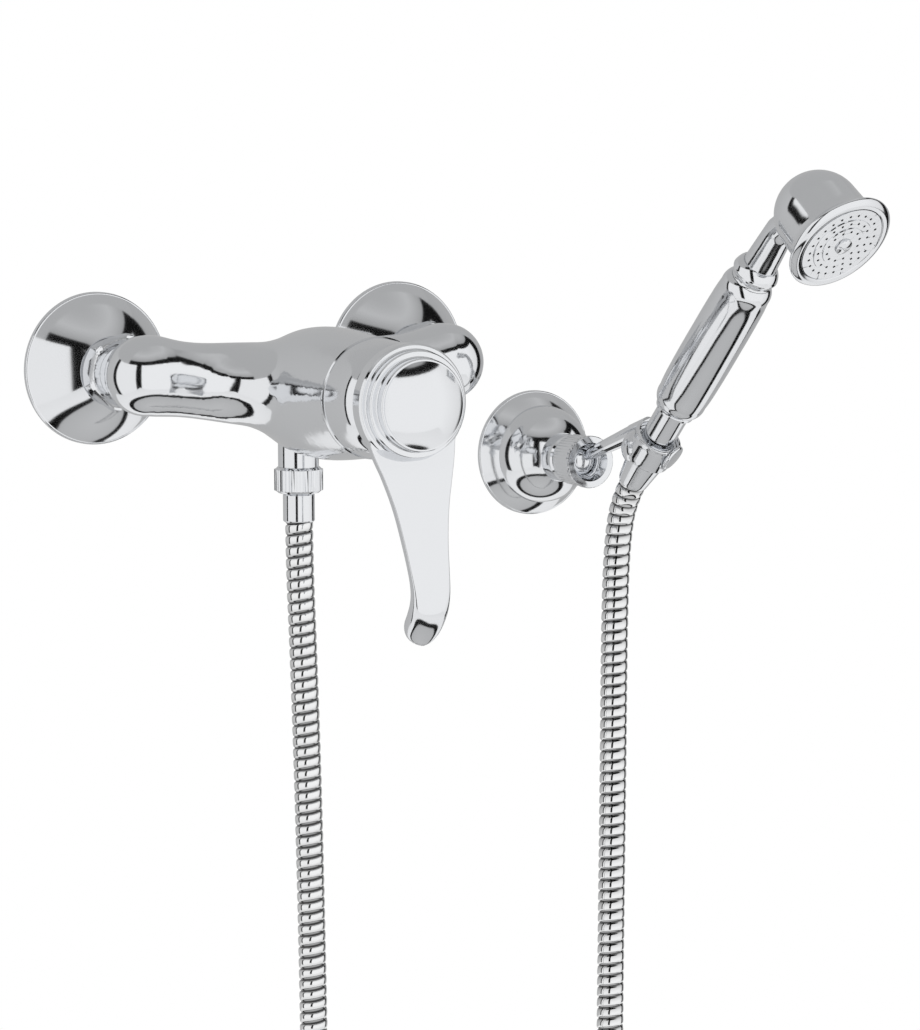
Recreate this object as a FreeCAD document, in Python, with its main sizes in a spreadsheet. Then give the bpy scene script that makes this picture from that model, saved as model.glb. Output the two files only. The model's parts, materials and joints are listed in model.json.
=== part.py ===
import FreeCAD, Part
import Sketcher
import math
import os

# Wall-mounted shower mixer with a ribbed hose, a swivel bracket and a hand spray.
# The wall is the plane y = 0 and -Y points out of it, X runs along it and +Z is up.
# The origin lies on the wall, midway between the two inlets. All lengths are in millimetres.

V = FreeCAD.Vector

# Inlets, unions and cover plates
SIZES = {
    "inlet_spacing": 150.0,
    "inlet_rise": 6.0,
    "wall_thread_radius": 10.5,
    "wall_thread_depth": 14.0,
    "wall_thread_start": 1.5,
    "wall_relief_radius": 9.8,
    "wall_bore_radius": 7.0,
    "union_thread_radius": 13.2,
    "union_root": 3.0,
    "union_end": 23.4,
    "union_bore_radius": 8.0,
    "cover_radius": 33.7,
    "cover_edge": 1.4,
    "cover_height": 19.5,
    "cover_neck_radius": 15.4,
    "cover_wall": 1.2,
    "thread_gap": 0.05,
    "nut_corner_radius": 17.3,
    "nut_start": 21.0,
    "nut_hex_length": 11.0,
    "nut_turn": 18.4,
    "nut_chamfer": 2.7,
    "nut_chamfer_length": 5.0,
    "nut_front_chamfer": 1.2,
    "nut_collar_radius": 14.6,
    "nut_collar_length": 0.9,
    "nut_slack": 0.1,
    "washer_thickness": 2.2,
    "tail_radius": 12.0,
    "tail_collar": 3.2,
    "valve_radius": 7.5,
    "valve_bore_radius": 5.2,
    "valve_length": 12.0,
    "valve_seat": 1.3,
    "valve_bridge": 1.4,
    "poppet_stem_radius": 1.2,
    "poppet_disc": 1.2,
    "joint_gap": 0.1,
    # Mixer body
    "body_distance": 50.0,
    "body_end_radius": 17.4,
    "body_end_reach": 73.5,
    "waist_radius": 16.6,
    "waist_drop": 3.4,
    "centre_radius": 19.5,
    "body_blend": 26.0,
    "barrel_drop": 7.4,
    "barrel_radius": 28.7,
    "barrel_tilt": 1.5,
    "barrel_front": 124.0,
    "barrel_front_radius": 25.3,
    "channel_radius": 7.6,
    "port_radius": 3.0,
    "port_offset": 10.5,
    "port_rise": 4.0,
    "drain_drop": 9.0,
    "outlet_bore_radius": 6.0,
    # Cartridge
    "seat_distance": 90.0,
    "cartridge_radius": 17.5,
    "cartridge_gap": 0.2,
    "base_height": 6.0,
    "disc_radius": 12.5,
    "disc_thickness": 4.0,
    "slider_radius": 10.5,
    "housing_height": 26.0,
    "housing_wall": 2.0,
    "housing_mouth_radius": 9.4,
    "collar_radius": 9.1,
    "stem_radius": 4.0,
    "stem_foot_radius": 2.3,
    "stem_ball_radius": 5.4,
    "stem_length": 39.4,
    "stem_pin_radius": 1.2,
    "stem_pin_length": 24.0,
    "pivot_height": 25.0,
    "clamp_outer_radius": 19.4,
    "clamp_mouth_radius": 13.2,
    "clamp_length": 7.0,
    "clamp_thread": 6.0,
    # Dome shroud
    "shroud_radius": 25.5,
    "shroud_bead": 0.6,
    "shroud_shoulder": 17.0,
    "shroud_length": 24.4,
    "shroud_mouth_radius": 18.2,
    "shroud_wall": 1.3,
    # Lever
    "lever_radius": 25.3,
    "lever_back": 151.0,
    "lever_front": 158.0,
    "lever_rim_wall": 2.2,
    "lever_edge": 0.5,
    "step_radius": 22.6,
    "step_height": 4.0,
    "crown_radius": 19.6,
    "crown_height": 8.6,
    "lever_boss_radius": 5.2,
    "lever_boss_depth": 4.0,
    "lever_seat": 2.2,
    "lever_reach": 100.8,
    "blade_width": 18.2,
    "blade_root_width": 40.0,
    "blade_thickness": 4.0,
    "blade_lean": 14.4,
    "tip_thickness": 12.0,
    "button_radius": 18.4,
    "button_dome": 5.0,
    "button_wall": 1.5,
    "button_skirt": 2.8,
    "lever_screw_radius": 2.4,
    "lever_screw_length": 12.0,
    # Outlet and the hose's lower end
    "outlet_radius": 9.0,
    "outlet_top": 27.0,
    "outlet_shoulder": 43.0,
    "outlet_thread_radius": 8.3,
    "outlet_thread_length": 6.0,
    "outlet_bore": 5.5,
    "hose_nut_radius": 10.8,
    "hose_nut_length": 11.4,
    "hose_washer_thickness": 1.8,
    "ferrule_radius": 7.0,
    "ferrule_length": 12.6,
    "tail_flange": 1.4,
    "tail_tube_radius": 4.4,
    "tail_bore_radius": 3.4,
    "tail_depth": 8.0,
    "flute_count": 40.0,
    "flute_depth": 0.35,
    # Hose
    "hose_radius": 6.2,
    "hose_groove": 0.6,
    "hose_bore_radius": 5.0,
    "hose_ribs": 200.0,
    "hose_gap": 0.1,
    # Swivel bracket
    "bracket_offset": 147.1,
    "bracket_drop": 48.6,
    "flange_radius": 29.1,
    "flange_edge": 1.2,
    "flange_step_radius": 22.7,
    "flange_step": 9.0,
    "flange_height": 28.0,
    "flange_neck_radius": 11.3,
    "flange_wall": 1.5,
    "plate_radius": 20.0,
    "plate_thickness": 3.5,
    "plate_boss_radius": 12.0,
    "plate_boss_height": 9.0,
    "plate_screw_offset": 16.0,
    "plate_screw_radius": 1.9,
    "plate_screw_head_radius": 3.6,
    "plate_screw_length": 22.0,
    "plug_radius": 3.0,
    "plug_length": 18.0,
    "socket_radius": 11.0,
    "socket_stem_radius": 8.1,
    "socket_neck_length": 10.0,
    "socket_thread_radius": 9.9,
    "socket_length": 19.5,
    "socket_edge": 0.85,
    "ball_radius": 7.8,
    "ball_distance": 42.0,
    "ball_gap": 0.05,
    "seat_depth": 5.9,
    "seat_bore_radius": 3.0,
    "ring_nut_radius": 11.6,
    "ring_nut_length": 15.7,
    "ring_nut_lip_radius": 6.5,
    "ring_nut_mouth_radius": 8.9,
    "ring_nut_grip": 3.0,
    "ring_flange_radius": 12.0,
    "ring_flange": 2.0,
    "knurl_count": 48.0,
    # Arm and holder
    "arm_rise": 20.6,
    "arm_neck_radius": 2.5,
    "arm_neck_length": 12.4,
    "arm_stud_radius": 1.5,
    "arm_stud_length": 7.0,
    "arm_root_radius": 2.9,
    "arm_end_radius": 4.0,
    "arm_length": 43.6,
    "arm_spigot_radius": 2.6,
    "arm_spigot_length": 2.5,
    "arm_swing": 8.0,
    "holder_reach": 53.7,
    "holder_rise": 9.4,
    "handset_lean": 40.6,
    "holder_top": 7.7,
    "holder_foot": 5.5,
    "holder_rim_radius": 10.9,
    "holder_foot_radius": 10.3,
    "holder_rim": 1.8,
    "holder_boss_radius": 8.8,
    "holder_boss_side": 2.4,
    "holder_boss_back": 3.6,
    "holder_boss_drop": 3.3,
    "cross_turn": 68.0,
    "cap_radius": 6.3,
    "cap_thickness": 2.2,
    "cap_shank_radius": 2.4,
    "cap_seat": 9.4,
    "cap_rise": 3.6,
    "cap_crown": 0.4,
    "cap_edge": 1.0,
    "cone_top": 5.5,
    "cone_top_radius": 9.3,
    "cone_foot_radius": 9.0,
    "cone_end": 20.9,
    "cone_end_radius": 6.9,
    "cone_gap": 0.2,
    "cone_floor": 5.6,
    "cone_edge": 0.6,
    # Hand spray
    "inlet_thread_radius": 8.3,
    "neck_radius": 7.5,
    "neck_top": 24.4,
    "neck_flange_radius": 9.1,
    "neck_flange": 1.8,
    "spigot_radius": 7.9,
    "spigot_length": 9.5,
    "neck_bore_radius": 4.8,
    "grip_length": 77.5,
    "grip_radius": 12.2,
    "grip_foot_radius": 8.8,
    "grip_head_radius": 9.3,
    "grip_wall": 1.3,
    "tube_radius": 6.1,
    "tube_bore_radius": 4.8,
    "tube_insert": 2.0,
    "tube_rise": 4.0,
    "shank_lift": 1.5,
    "collar_height": 8.9,
    "collar_foot_radius": 9.1,
    "collar_edge_radius": 10.3,
    "collar_top_radius": 8.2,
    "upper_neck_radius": 7.6,
    "upper_neck_end_radius": 6.5,
    "spray_reach": 153.9,
    "spray_drop": 39.6,
    "spray_depth": 31.8,
    "neck_bend": 21.5,
    "neck_aim": 24.0,
    "bell_length": 37.1,
    "bell_front_radius": 23.3,
    "bell_taper": 0.5,
    "bell_flare": 6.0,
    "bell_radius": 19.0,
    "bell_wall": 1.6,
    "bell_throat_radius": 18.0,
    "bezel_radius": 24.4,
    "bezel_height": 1.5,
    "bezel_front": 1.6,
    "bezel_skirt_radius": 20.6,
    "bezel_skirt": 0.8,
    "rose_radius": 19.4,
    "rose_step": 0.5,
    "rose_level": -1.2,
    "rose_thickness": 2.7,
    "rose_hole_radius": 0.6,
    "rose_ring_one": 8.0,
    "rose_ring_two": 12.2,
    "rose_ring_three": 16.2,
    "rose_holes": 12.0,
    "rose_holes_more": 6.0,
    "rose_screw_radius": 3.9,
    "rose_screw_shank": 1.9,
    "rose_screw_length": 9.0,
    "rose_screw_head": 0.65,
    "rose_screw_crown": 0.95,
    "gasket_thickness": 1.0,
    "gasket_width": 2.0,
    "spreader_thickness": 1.6,
    "spreader_boss_radius": 4.6,
    "spreader_boss": 4.5,
    "spreader_holes": 8.0,
    "regulator_radius": 4.6,
    "regulator_bore_radius": 2.0,
    "regulator_thickness": 2.6,
    "regulator_inset": 2.0,
}

# The hose's route, from the mixer's outlet down, across and up to the hand spray
HOSE_ROUTE = [
    (0.0, -50.0, -56.0),
    (0.0, -50.0, -84.0),
    (1.6, -50.0, -124.0),
    (3.4, -50.3, -190.0),
    (5.0, -50.6, -290.0),
    (5.4, -51.0, -390.0),
    (4.9, -51.1, -470.0),
    (4.6, -51.0, -535.0),
    (24.0, -52.8, -568.0),
    (57.5, -56.0, -587.4),
    (96.2, -59.6, -587.4),
    (129.7, -62.8, -568.0),
    (149.1, -64.6, -535.0),
    (149.3, -65.0, -470.0),
    (149.7, -65.6, -390.0),
    (150.2, -66.4, -290.0),
    (150.7, -68.0, -186.0),
    (150.9, -68.8, -118.0),
    (151.15, -70.8, -82.3),
    (151.95, -76.51, -61.23),
    (153.84, -89.96, -45.35),
]


class Size:
    """A length of the sheet, or a sum of such lengths: its value and its expression."""

    def __init__(self, value, text):
        self.value = value
        self.text = text

    def join(self, sign, other, value):
        return Size(value, "(%s %s %s)" % (self.text, sign, other.text))

    def __add__(self, other):
        other = as_size(other)
        return self.join("+", other, self.value + other.value)

    def __sub__(self, other):
        other = as_size(other)
        return self.join("-", other, self.value - other.value)

    def __mul__(self, other):
        other = as_size(other)
        return self.join("*", other, self.value * other.value)

    def __truediv__(self, other):
        other = as_size(other)
        return self.join("/", other, self.value / other.value)

    def __neg__(self):
        return as_size(0.0) - self

    def __radd__(self, other):
        return as_size(other) + self

    def __rsub__(self, other):
        return as_size(other) - self

    def __rmul__(self, other):
        return as_size(other) * self

    def __float__(self):
        return self.value


class Sheet:
    """The driving dimensions as attributes, each a Size bound to its cell."""


def as_size(value):
    return value if isinstance(value, Size) else Size(float(value), "%.6g" % value)


def vec(x, y, z):
    return V(float(x), float(y), float(z))


doc = FreeCAD.newDocument("shower_mixer")
sheet = doc.addObject("Spreadsheet::Sheet", "sizes")
S = Sheet()
for row, (alias, number) in enumerate(SIZES.items(), start=1):
    sheet.set("A%d" % row, alias)
    sheet.set("B%d" % row, "%g" % number)
    sheet.setAlias("B%d" % row, alias)
    setattr(S, alias, Size(number, "sizes." + alias))
doc.recompute()

PARTS = []


def shifted(x, y, z):
    return FreeCAD.Placement(vec(x, y, z), FreeCAD.Rotation())


def keep(feature, label, placement=None):
    """Names a finished sub-part, puts it in its place and lists it for export."""
    feature.Label = label
    if placement is not None:
        feature.Placement = placement
    PARTS.append(feature)
    return feature


def aimed(origin, direction, reference=V(1, 0, 0)):
    """A placement whose Z axis points along direction and whose X axis stays near reference."""
    z = V(direction).normalize()
    x = (reference - z * reference.dot(z)).normalize()
    y = z.cross(x)
    return FreeCAD.Placement(origin, FreeCAD.Rotation(x, y, z, "ZXY"))


def cap_turn(radius, height):
    """The turn in degrees of the arc from a round cap's rim to its crown, centred on the axis."""
    return math.degrees(2 * math.atan(float(height) / float(radius)))


def plane_of(body, role):
    return [f for f in body.Origin.OriginFeatures if f.Role == role][0]


def outline_sketch(body, name, outline, role="XZ_Plane"):
    """A closed sketch through points (x, y) or (x, y, turn), where turn is the angle in degrees
    of the arc that arrives at the point. Every coordinate is bound to the sheet."""
    sketch = body.newObject("Sketcher::SketchObject", name)
    sketch.AttachmentSupport = (plane_of(body, role), [""])
    sketch.MapMode = "FlatFace"
    points = [V(float(p[0]), float(p[1]), 0) for p in outline]
    count = len(outline)
    starts, ends = [], []
    for i in range(count):
        a, b = points[i], points[(i + 1) % count]
        item = outline[(i + 1) % count]
        turn = math.radians(item[2]) if len(item) > 2 else 0.0
        if not turn:
            sketch.addGeometry(Part.LineSegment(a, b), False)
            starts.append(1)
            ends.append(2)
            continue
        chord = b - a
        side = V(-chord.y, chord.x, 0) * (1 if turn > 0 else -1)
        half = abs(turn) / 2
        centre = (a + b) * 0.5 + side * (0.5 / math.tan(half))
        first, last = (a, b) if turn > 0 else (b, a)
        start = math.atan2(first.y - centre.y, first.x - centre.x)
        circle = Part.Circle(centre, V(0, 0, 1), chord.Length / 2 / math.sin(half))
        sketch.addGeometry(Part.ArcOfCircle(circle, start, start + abs(turn)), False)
        starts.append(1 if turn > 0 else 2)
        ends.append(2 if turn > 0 else 1)
        arc = sketch.addConstraint(Sketcher.Constraint("Angle", i, abs(turn)))
        sketch.renameConstraint(arc, "turn%d" % i)
    for i in range(count):
        before = (i - 1) % count
        sketch.addConstraint(Sketcher.Constraint("Coincident", before, ends[before], i, starts[i]))
        for axis, value in (("DistanceX", outline[i][0]), ("DistanceY", outline[i][1])):
            if not isinstance(value, Size) and float(value) == 0.0:
                line = -2 if axis == "DistanceX" else -1
                sketch.addConstraint(Sketcher.Constraint("PointOnObject", i, starts[i], line))
                continue
            size = as_size(value)
            made = Sketcher.Constraint(axis, -1, 1, i, starts[i], size.value)
            index = sketch.addConstraint(made)
            label = "%s%d" % ("x" if axis == "DistanceX" else "y", i)
            sketch.renameConstraint(index, label)
            sketch.setExpression("Constraints." + label, size.text)
    return sketch


def turned(name, outline):
    """A body of revolution about its Z axis, from an outline of (radius, height) points."""
    body = doc.addObject("PartDesign::Body", name)
    sketch = outline_sketch(body, name + "_outline", outline)
    spin = body.newObject("PartDesign::Revolution", name + "_turn")
    spin.Profile = sketch
    spin.ReferenceAxis = (sketch, ["V_Axis"])
    spin.Angle = 360.0
    sketch.Visibility = False
    return body


def bound(kind, name, sizes, placement=None):
    """A primitive whose sizes are bound to the sheet."""
    item = doc.addObject(kind, name)
    for prop, value in sizes.items():
        item.setExpression(prop, as_size(value).text)
    if placement is not None:
        item.Placement = placement
    return item


def cylinder(name, radius, height, placement=None):
    return bound("Part::Cylinder", name, {"Radius": radius, "Height": height}, placement)


def cut(name, base, tool):
    item = doc.addObject("Part::Cut", name)
    item.Base = base
    item.Tool = tool
    return item


def fuse(name, shapes):
    item = doc.addObject("Part::MultiFuse", name)
    item.Shapes = shapes
    return item


def chain(name, shapes):
    """Shapes fused one after another."""
    whole = shapes[0]
    for number, shape in enumerate(shapes[1:], start=1):
        item = doc.addObject("Part::Fuse", "%s_%d" % (name, number))
        item.Base = whole
        item.Tool = shape
        whole = item
    return whole


def common(name, shapes):
    item = doc.addObject("Part::MultiCommon", name)
    item.Shapes = shapes
    return item


def feature(name, shape):
    item = doc.addObject("Part::Feature", name)
    item.Shape = shape
    return item


def tube_outline(inner, outer, low, high):
    return [(inner, low), (outer, low), (outer, high), (inner, high)]


# Directions and reference places that several pieces share
OUT = V(0, -1, 0)
DOWN = V(0, 0, -1)
UP = V(0, 0, 1)
SWING = math.radians(float(S.arm_swing))
FORWARD = V(math.sin(SWING), -math.cos(SWING), 0)
ACROSS = V(math.cos(SWING), math.sin(SWING), 0)
LEAN = math.radians(float(S.handset_lean))
AXIS = FORWARD * math.sin(LEAN) + UP * math.cos(LEAN)
FRONT = FORWARD * math.cos(LEAN) - UP * math.sin(LEAN)
CROSS_TURN = math.radians(float(S.cross_turn))
CROSS = ACROSS * math.cos(CROSS_TURN) + FRONT * math.sin(CROSS_TURN)
ARM_RISE = math.radians(float(S.arm_rise))
ARM = FORWARD * math.cos(ARM_RISE) + UP * math.sin(ARM_RISE)
DROP = math.radians(float(S.spray_drop))
SPRAY = FORWARD * math.cos(DROP) - UP * math.sin(DROP)
BALL = vec(S.bracket_offset, -S.ball_distance, -S.bracket_drop)
HOLDER = BALL + FORWARD * float(S.holder_reach) + UP * float(S.holder_rise)
RIM = HOLDER + AXIS * float(S.spray_reach) + SPRAY * float(S.spray_depth)
WALL_BARREL = aimed(vec(0, 0, -S.barrel_drop), OUT)
WALL_BRACKET = aimed(vec(S.bracket_offset, 0, -S.bracket_drop), OUT)
HANDSET = aimed(HOLDER, AXIS, ACROSS)
HEAD = aimed(RIM, -SPRAY, ACROSS)
OUTLET = aimed(vec(0, -S.body_distance, 0), DOWN)


def knurled(name, radius, low, high, count, depth):
    """A straight-fluted blank: shallow flutes all round a cylinder."""
    points = []
    steps = int(round(float(count)))
    for i in range(steps):
        for part, r in ((0.0, float(radius)), (0.35, float(radius)), (0.675, float(radius) - float(depth))):
            angle = 2 * math.pi * (i + part) / steps
            points.append(V(r * math.cos(angle), r * math.sin(angle), float(low)))
    face = Part.Face(Part.makePolygon(points + points[:1]))
    return feature(name, face.extrude(V(0, 0, float(high) - float(low))))


# Wall connections

WALL_TAIL_END = S.union_end + S.washer_thickness


def wall_union(side, x):
    """The eccentric union: a wall thread with a relief at its root and, off its centre, the thread
    for the union nut."""
    wall = aimed(vec(x, 0, S.inlet_rise), OUT)
    room = aimed(vec(x, 0, 0), OUT)
    behind = wall.multiply(shifted(0, 0, -S.wall_thread_depth))
    relief = wall.multiply(shifted(0, 0, S.wall_thread_start))
    root = room.multiply(shifted(0, 0, S.union_root))
    length = S.union_end - S.union_root
    solid = fuse("union_blank_" + side, [
        cylinder("wall_thread_" + side, S.wall_thread_radius, S.wall_thread_depth + S.wall_thread_start,
                 behind),
        cylinder("wall_relief_" + side, S.wall_relief_radius, S.union_root - S.wall_thread_start, relief),
        cylinder("room_thread_" + side, S.union_thread_radius, length, root),
    ])
    bores = fuse("union_bores_" + side, [
        cylinder("wall_bore_" + side, S.wall_bore_radius, S.wall_thread_depth + S.union_root, behind),
        cylinder("room_bore_" + side, S.union_bore_radius, length, root),
    ])
    keep(cut("union_" + side, solid, bores), "eccentric_union_" + side)


def wall_cover(side, x):
    """The round cover plate, a thin shallow cone with a rolled edge."""
    edge = S.cover_edge
    wall = S.cover_wall
    outline = [
        (S.cover_radius - wall, 0),
        (S.cover_radius, 0),
        (S.cover_radius, edge),
        (S.cover_radius - 1.0, edge + 1.0, 90),
        (S.cover_neck_radius, S.cover_height, 24),
        (S.cover_neck_radius - wall, S.cover_height),
        (S.cover_neck_radius - wall, S.cover_height - wall),
        (S.cover_radius - wall - 1.0, edge, -24),
    ]
    keep(turned("cover_" + side, outline), "escutcheon_" + side, aimed(vec(x, 0, 0), OUT))


def union_nut(side, x):
    """The hexagonal nut that draws the mixer onto the union, with a lip behind the tail's collar."""
    start = S.nut_start
    end = start + S.nut_hex_length
    top = end + S.nut_collar_length
    prism = bound("Part::Prism", "nut_hex_" + side, {
        "Circumradius": S.nut_corner_radius, "Height": S.nut_hex_length + S.nut_collar_length})
    prism.Polygon = 6
    prism.Placement = FreeCAD.Placement(vec(0, 0, start), FreeCAD.Rotation(UP, float(S.nut_turn)))
    bore = S.union_thread_radius + S.thread_gap
    lip = S.tail_radius + S.thread_gap
    front = S.nut_front_chamfer
    ledge = WALL_TAIL_END + S.tail_collar + S.nut_slack
    blank = turned("nut_blank_" + side, [
        (bore, start),
        (S.nut_corner_radius - S.nut_chamfer, start),
        (S.nut_corner_radius, start + S.nut_chamfer_length),
        (S.nut_corner_radius, end - front * 0.6),
        (S.nut_corner_radius - front, end),
        (S.nut_collar_radius, end),
        (S.nut_collar_radius, top),
        (lip, top),
        (lip, ledge),
        (bore, ledge),
    ])
    keep(common("nut_" + side, [prism, blank]), "union_nut_" + side, aimed(vec(x, 0, 0), OUT))


def inlet_washer(side, x):
    outer = S.union_thread_radius - S.joint_gap * 4
    outline = tube_outline(S.union_bore_radius, outer, S.union_end, WALL_TAIL_END)
    keep(turned("washer_" + side, outline), "inlet_washer_" + side, aimed(vec(x, 0, 0), OUT))


def check_valve(side, x):
    """The non-return valve in the inlet: a sleeve with a seat, and the closer that its spring shuts."""
    low = WALL_TAIL_END + S.joint_gap * 5
    high = low + S.valve_length
    bore = S.valve_bore_radius
    seat = bore - S.valve_seat
    seat_top = low + S.valve_seat * 1.5
    place = aimed(vec(x, 0, 0), OUT)
    outer = S.valve_radius
    sleeve = turned("valve_" + side, [
        (seat, low), (outer, low), (outer, high), (bore, high), (bore, seat_top), (seat, seat_top)])
    bridge = bound("Part::Box", "valve_bridge_" + side, {
        "Length": (bore + S.valve_bridge * 0.3) * 2, "Width": S.valve_bridge * 3, "Height": S.valve_bridge})
    bridge.Placement = shifted(-(bore + S.valve_bridge * 0.3), -S.valve_bridge * 1.5, high - S.valve_bridge)
    stem = S.poppet_stem_radius
    hole = cylinder("valve_guide_" + side, stem + S.thread_gap, S.valve_bridge * 3,
                    shifted(0, 0, high - S.valve_bridge * 2))
    blank = fuse("valve_blank_" + side, [sleeve, bridge])
    keep(cut("valve_body_" + side, blank, hole), "check_valve_" + side, place)
    face = seat_top + S.joint_gap
    crown = face + S.poppet_disc
    nose, tip = face - S.poppet_disc, high + S.joint_gap * 4
    lap = S.poppet_disc * 0.6
    keep(turned("poppet_" + side, [
        (0, nose), (seat - lap, nose), (seat - lap * 0.4, face), (seat + lap, face), (seat + lap, crown),
        (stem, crown), (stem, tip), (0, tip)]),
        "check_poppet_" + side, place)


# Mixer body

def skin_edges(solid, first, second):
    """The edges of a fused solid that lie on the skins of both its parents."""
    found = []
    for edge in solid.Edges:
        point = Part.Vertex(edge.valueAt((edge.FirstParameter + edge.LastParameter) / 2))
        if max(first.Shells[0].distToShape(point)[0], second.Shells[0].distToShape(point)[0]) < 0.01:
            found.append(edge)
    return found


def body_tube():
    """The waisted tube along the wall with its two round ends."""
    reach, end = float(S.body_end_reach), float(S.body_end_radius)
    waist, drop, low = float(S.waist_radius), float(S.waist_drop), float(S.barrel_drop)
    rise = float(S.centre_radius) - waist
    right = [
        (0.0, low, waist + rise),
        (0.27, low * 0.84, waist + rise * 0.7),
        (0.46, low * 0.66, waist + rise * 0.35),
        (0.65, drop, waist),
        (0.83, drop * 0.42, waist + (end - waist) * 0.3),
        (1.0, 0.0, end),
    ]
    stations = [(-share, down, radius) for share, down, radius in right[:0:-1]] + right
    rings = []
    for share, down, radius in stations:
        circle = Part.makeCircle(radius, vec(share * reach, -S.body_distance, -down), V(1, 0, 0))
        rings.append(Part.Wire([circle]))
    tube = Part.makeLoft(rings, True, False)
    ends = [Part.makeSphere(end, vec(side * reach, -S.body_distance, 0), V(side, 0, 0), 0, 90, 360)
            for side in (-1, 1)]
    return tube.fuse(ends)


def body_barrel():
    """The egg-backed barrel that stands out of the tube and carries the cartridge. Its outline is
    given by shares of its radius, and behind the tube by shares of its radius along the axis too."""
    full, front, mouth = float(S.barrel_radius), float(S.barrel_front), float(S.barrel_front_radius)
    middle = float(S.body_distance)
    swell, rest = front - middle, mouth - full
    back = [(0.0, -0.767), (0.517, -0.645), (0.772, -0.314), (0.876, 0.07), (0.952, 0.418)]
    fore = [(0.0, 0.35), (0.0, 0.49), (0.38, 0.73), (0.68, 0.865), (1.0, 1.0)]
    points = [V(full * share, -middle - full * at, 0) for share, at in back]
    points += [V(full + rest * share, -middle - swell * at, 0) for share, at in fore]
    free = len(points) - 1
    curve = Part.BSplineCurve()
    tangents = [V(1, 0, 0)] + [V(0, 0, 0)] * free
    curve.interpolate(points, Tangents=tangents, TangentFlags=[True] + [False] * free)
    spare = V(0, -full * 0.07, 0)
    wall = Part.LineSegment(points[-1], points[-1] + spare).toShape()
    rim = Part.LineSegment(points[-1] + spare, V(0, -front, 0) + spare).toShape()
    axis = Part.LineSegment(V(0, -front, 0) + spare, points[0]).toShape()
    barrel = Part.Face(Part.Wire([curve.toShape(), wall, rim, axis])).revolve(V(0, 0, 0), V(0, 1, 0), 360)
    barrel.rotate(V(0, -front, 0), V(1, 0, 0), -float(S.barrel_tilt))
    barrel.translate(vec(0, 0, -S.barrel_drop))
    trim = Part.makeBox(4 * full, full, 4 * full, V(-2 * full, -front - full, -2 * full))
    return barrel.cut(trim)


def mixer_body():
    """The cast body: a waisted tube along the wall, a barrel standing out of it, two tails
    toward the wall and the outlet below, with its waterways."""
    half, reach = float(S.inlet_spacing) / 2, float(S.body_end_reach)
    distance, drop = float(S.body_distance), float(S.barrel_drop)
    tube, barrel = body_tube(), body_barrel()
    solid = tube.fuse(barrel)
    solid = solid.makeFillet(float(S.body_blend), skin_edges(solid, tube, barrel))
    tail_end = float(WALL_TAIL_END)
    tail_length = distance - tail_end
    inward = V(0, 1, 0)
    for side in (-1, 1):
        tail = Part.makeCylinder(float(S.tail_radius), tail_length, V(side * half, -distance, 0), inward)
        collar = Part.makeCylinder(float(S.union_thread_radius - S.joint_gap), float(S.tail_collar),
                                   V(side * half, -tail_end, 0), OUT)
        solid = solid.fuse([tail, collar])
    channel, port, bore = float(S.channel_radius), float(S.port_radius), float(S.outlet_bore_radius)
    seat = float(S.seat_distance)
    feed_level = -drop + float(S.port_rise)
    for side in (-1, 1):
        inlet = Part.makeCylinder(channel, tail_length, V(side * half, -distance, 0), inward)
        start = V(side * (reach + port * 0.6), -distance, 0)
        stop = V(side * port * 3, -distance, -drop)
        run = Part.makeCylinder(channel, (stop - start).Length, start, stop - start)
        feed_start = V(side * float(S.port_offset), -distance, feed_level)
        feed = Part.makeCylinder(port, seat - distance, feed_start, OUT)
        solid = solid.cut(inlet).cut(run).cut(feed)
    drain = Part.makeCylinder(port, seat - distance, V(0, -distance, -drop - float(S.drain_drop)), OUT)
    down = Part.makeCylinder(bore, float(S.outlet_top), V(0, -distance, -drop - float(S.port_rise)), DOWN)
    socket = Part.makeCylinder(float(S.outlet_radius + S.thread_gap), float(S.outlet_shoulder),
                               vec(0, -S.body_distance, -S.outlet_top), DOWN)
    depth = float(S.barrel_front - S.seat_distance)
    cartridge_bore = Part.makeCylinder(float(S.cartridge_radius + S.cartridge_gap), depth,
                                       V(0, -seat, -drop), OUT)
    thread = Part.makeCylinder(float(S.clamp_outer_radius + S.thread_gap), float(S.clamp_thread),
                               vec(0, S.clamp_thread - S.barrel_front, -S.barrel_drop), OUT)
    for tool in (drain, down, socket, cartridge_bore, thread):
        solid = solid.cut(tool)
    keep(feature("mixer_casting", solid), "mixer_body")


# Cartridge, shroud and lever, measured along the barrel's axis from the wall

BASE_TOP = S.seat_distance + S.base_height
DISC_TOP = BASE_TOP + S.disc_thickness
SLIDER_LOW = DISC_TOP + S.joint_gap
SLIDER_TOP = SLIDER_LOW + S.disc_thickness
HOUSING_TOP = BASE_TOP + S.housing_height
PIVOT = S.seat_distance + S.pivot_height


def ported(name, blank, radius, low, height, ports):
    """A disc of the cartridge with its cold, hot and mixed ports cut through."""
    tools = []
    for kind, x, y in ports:
        tools.append(cylinder("%s_port_%s" % (name, kind), radius, height, shifted(x, y, low)))
    return cut(name + "_cut", blank, fuse(name + "_ports", tools))


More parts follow.
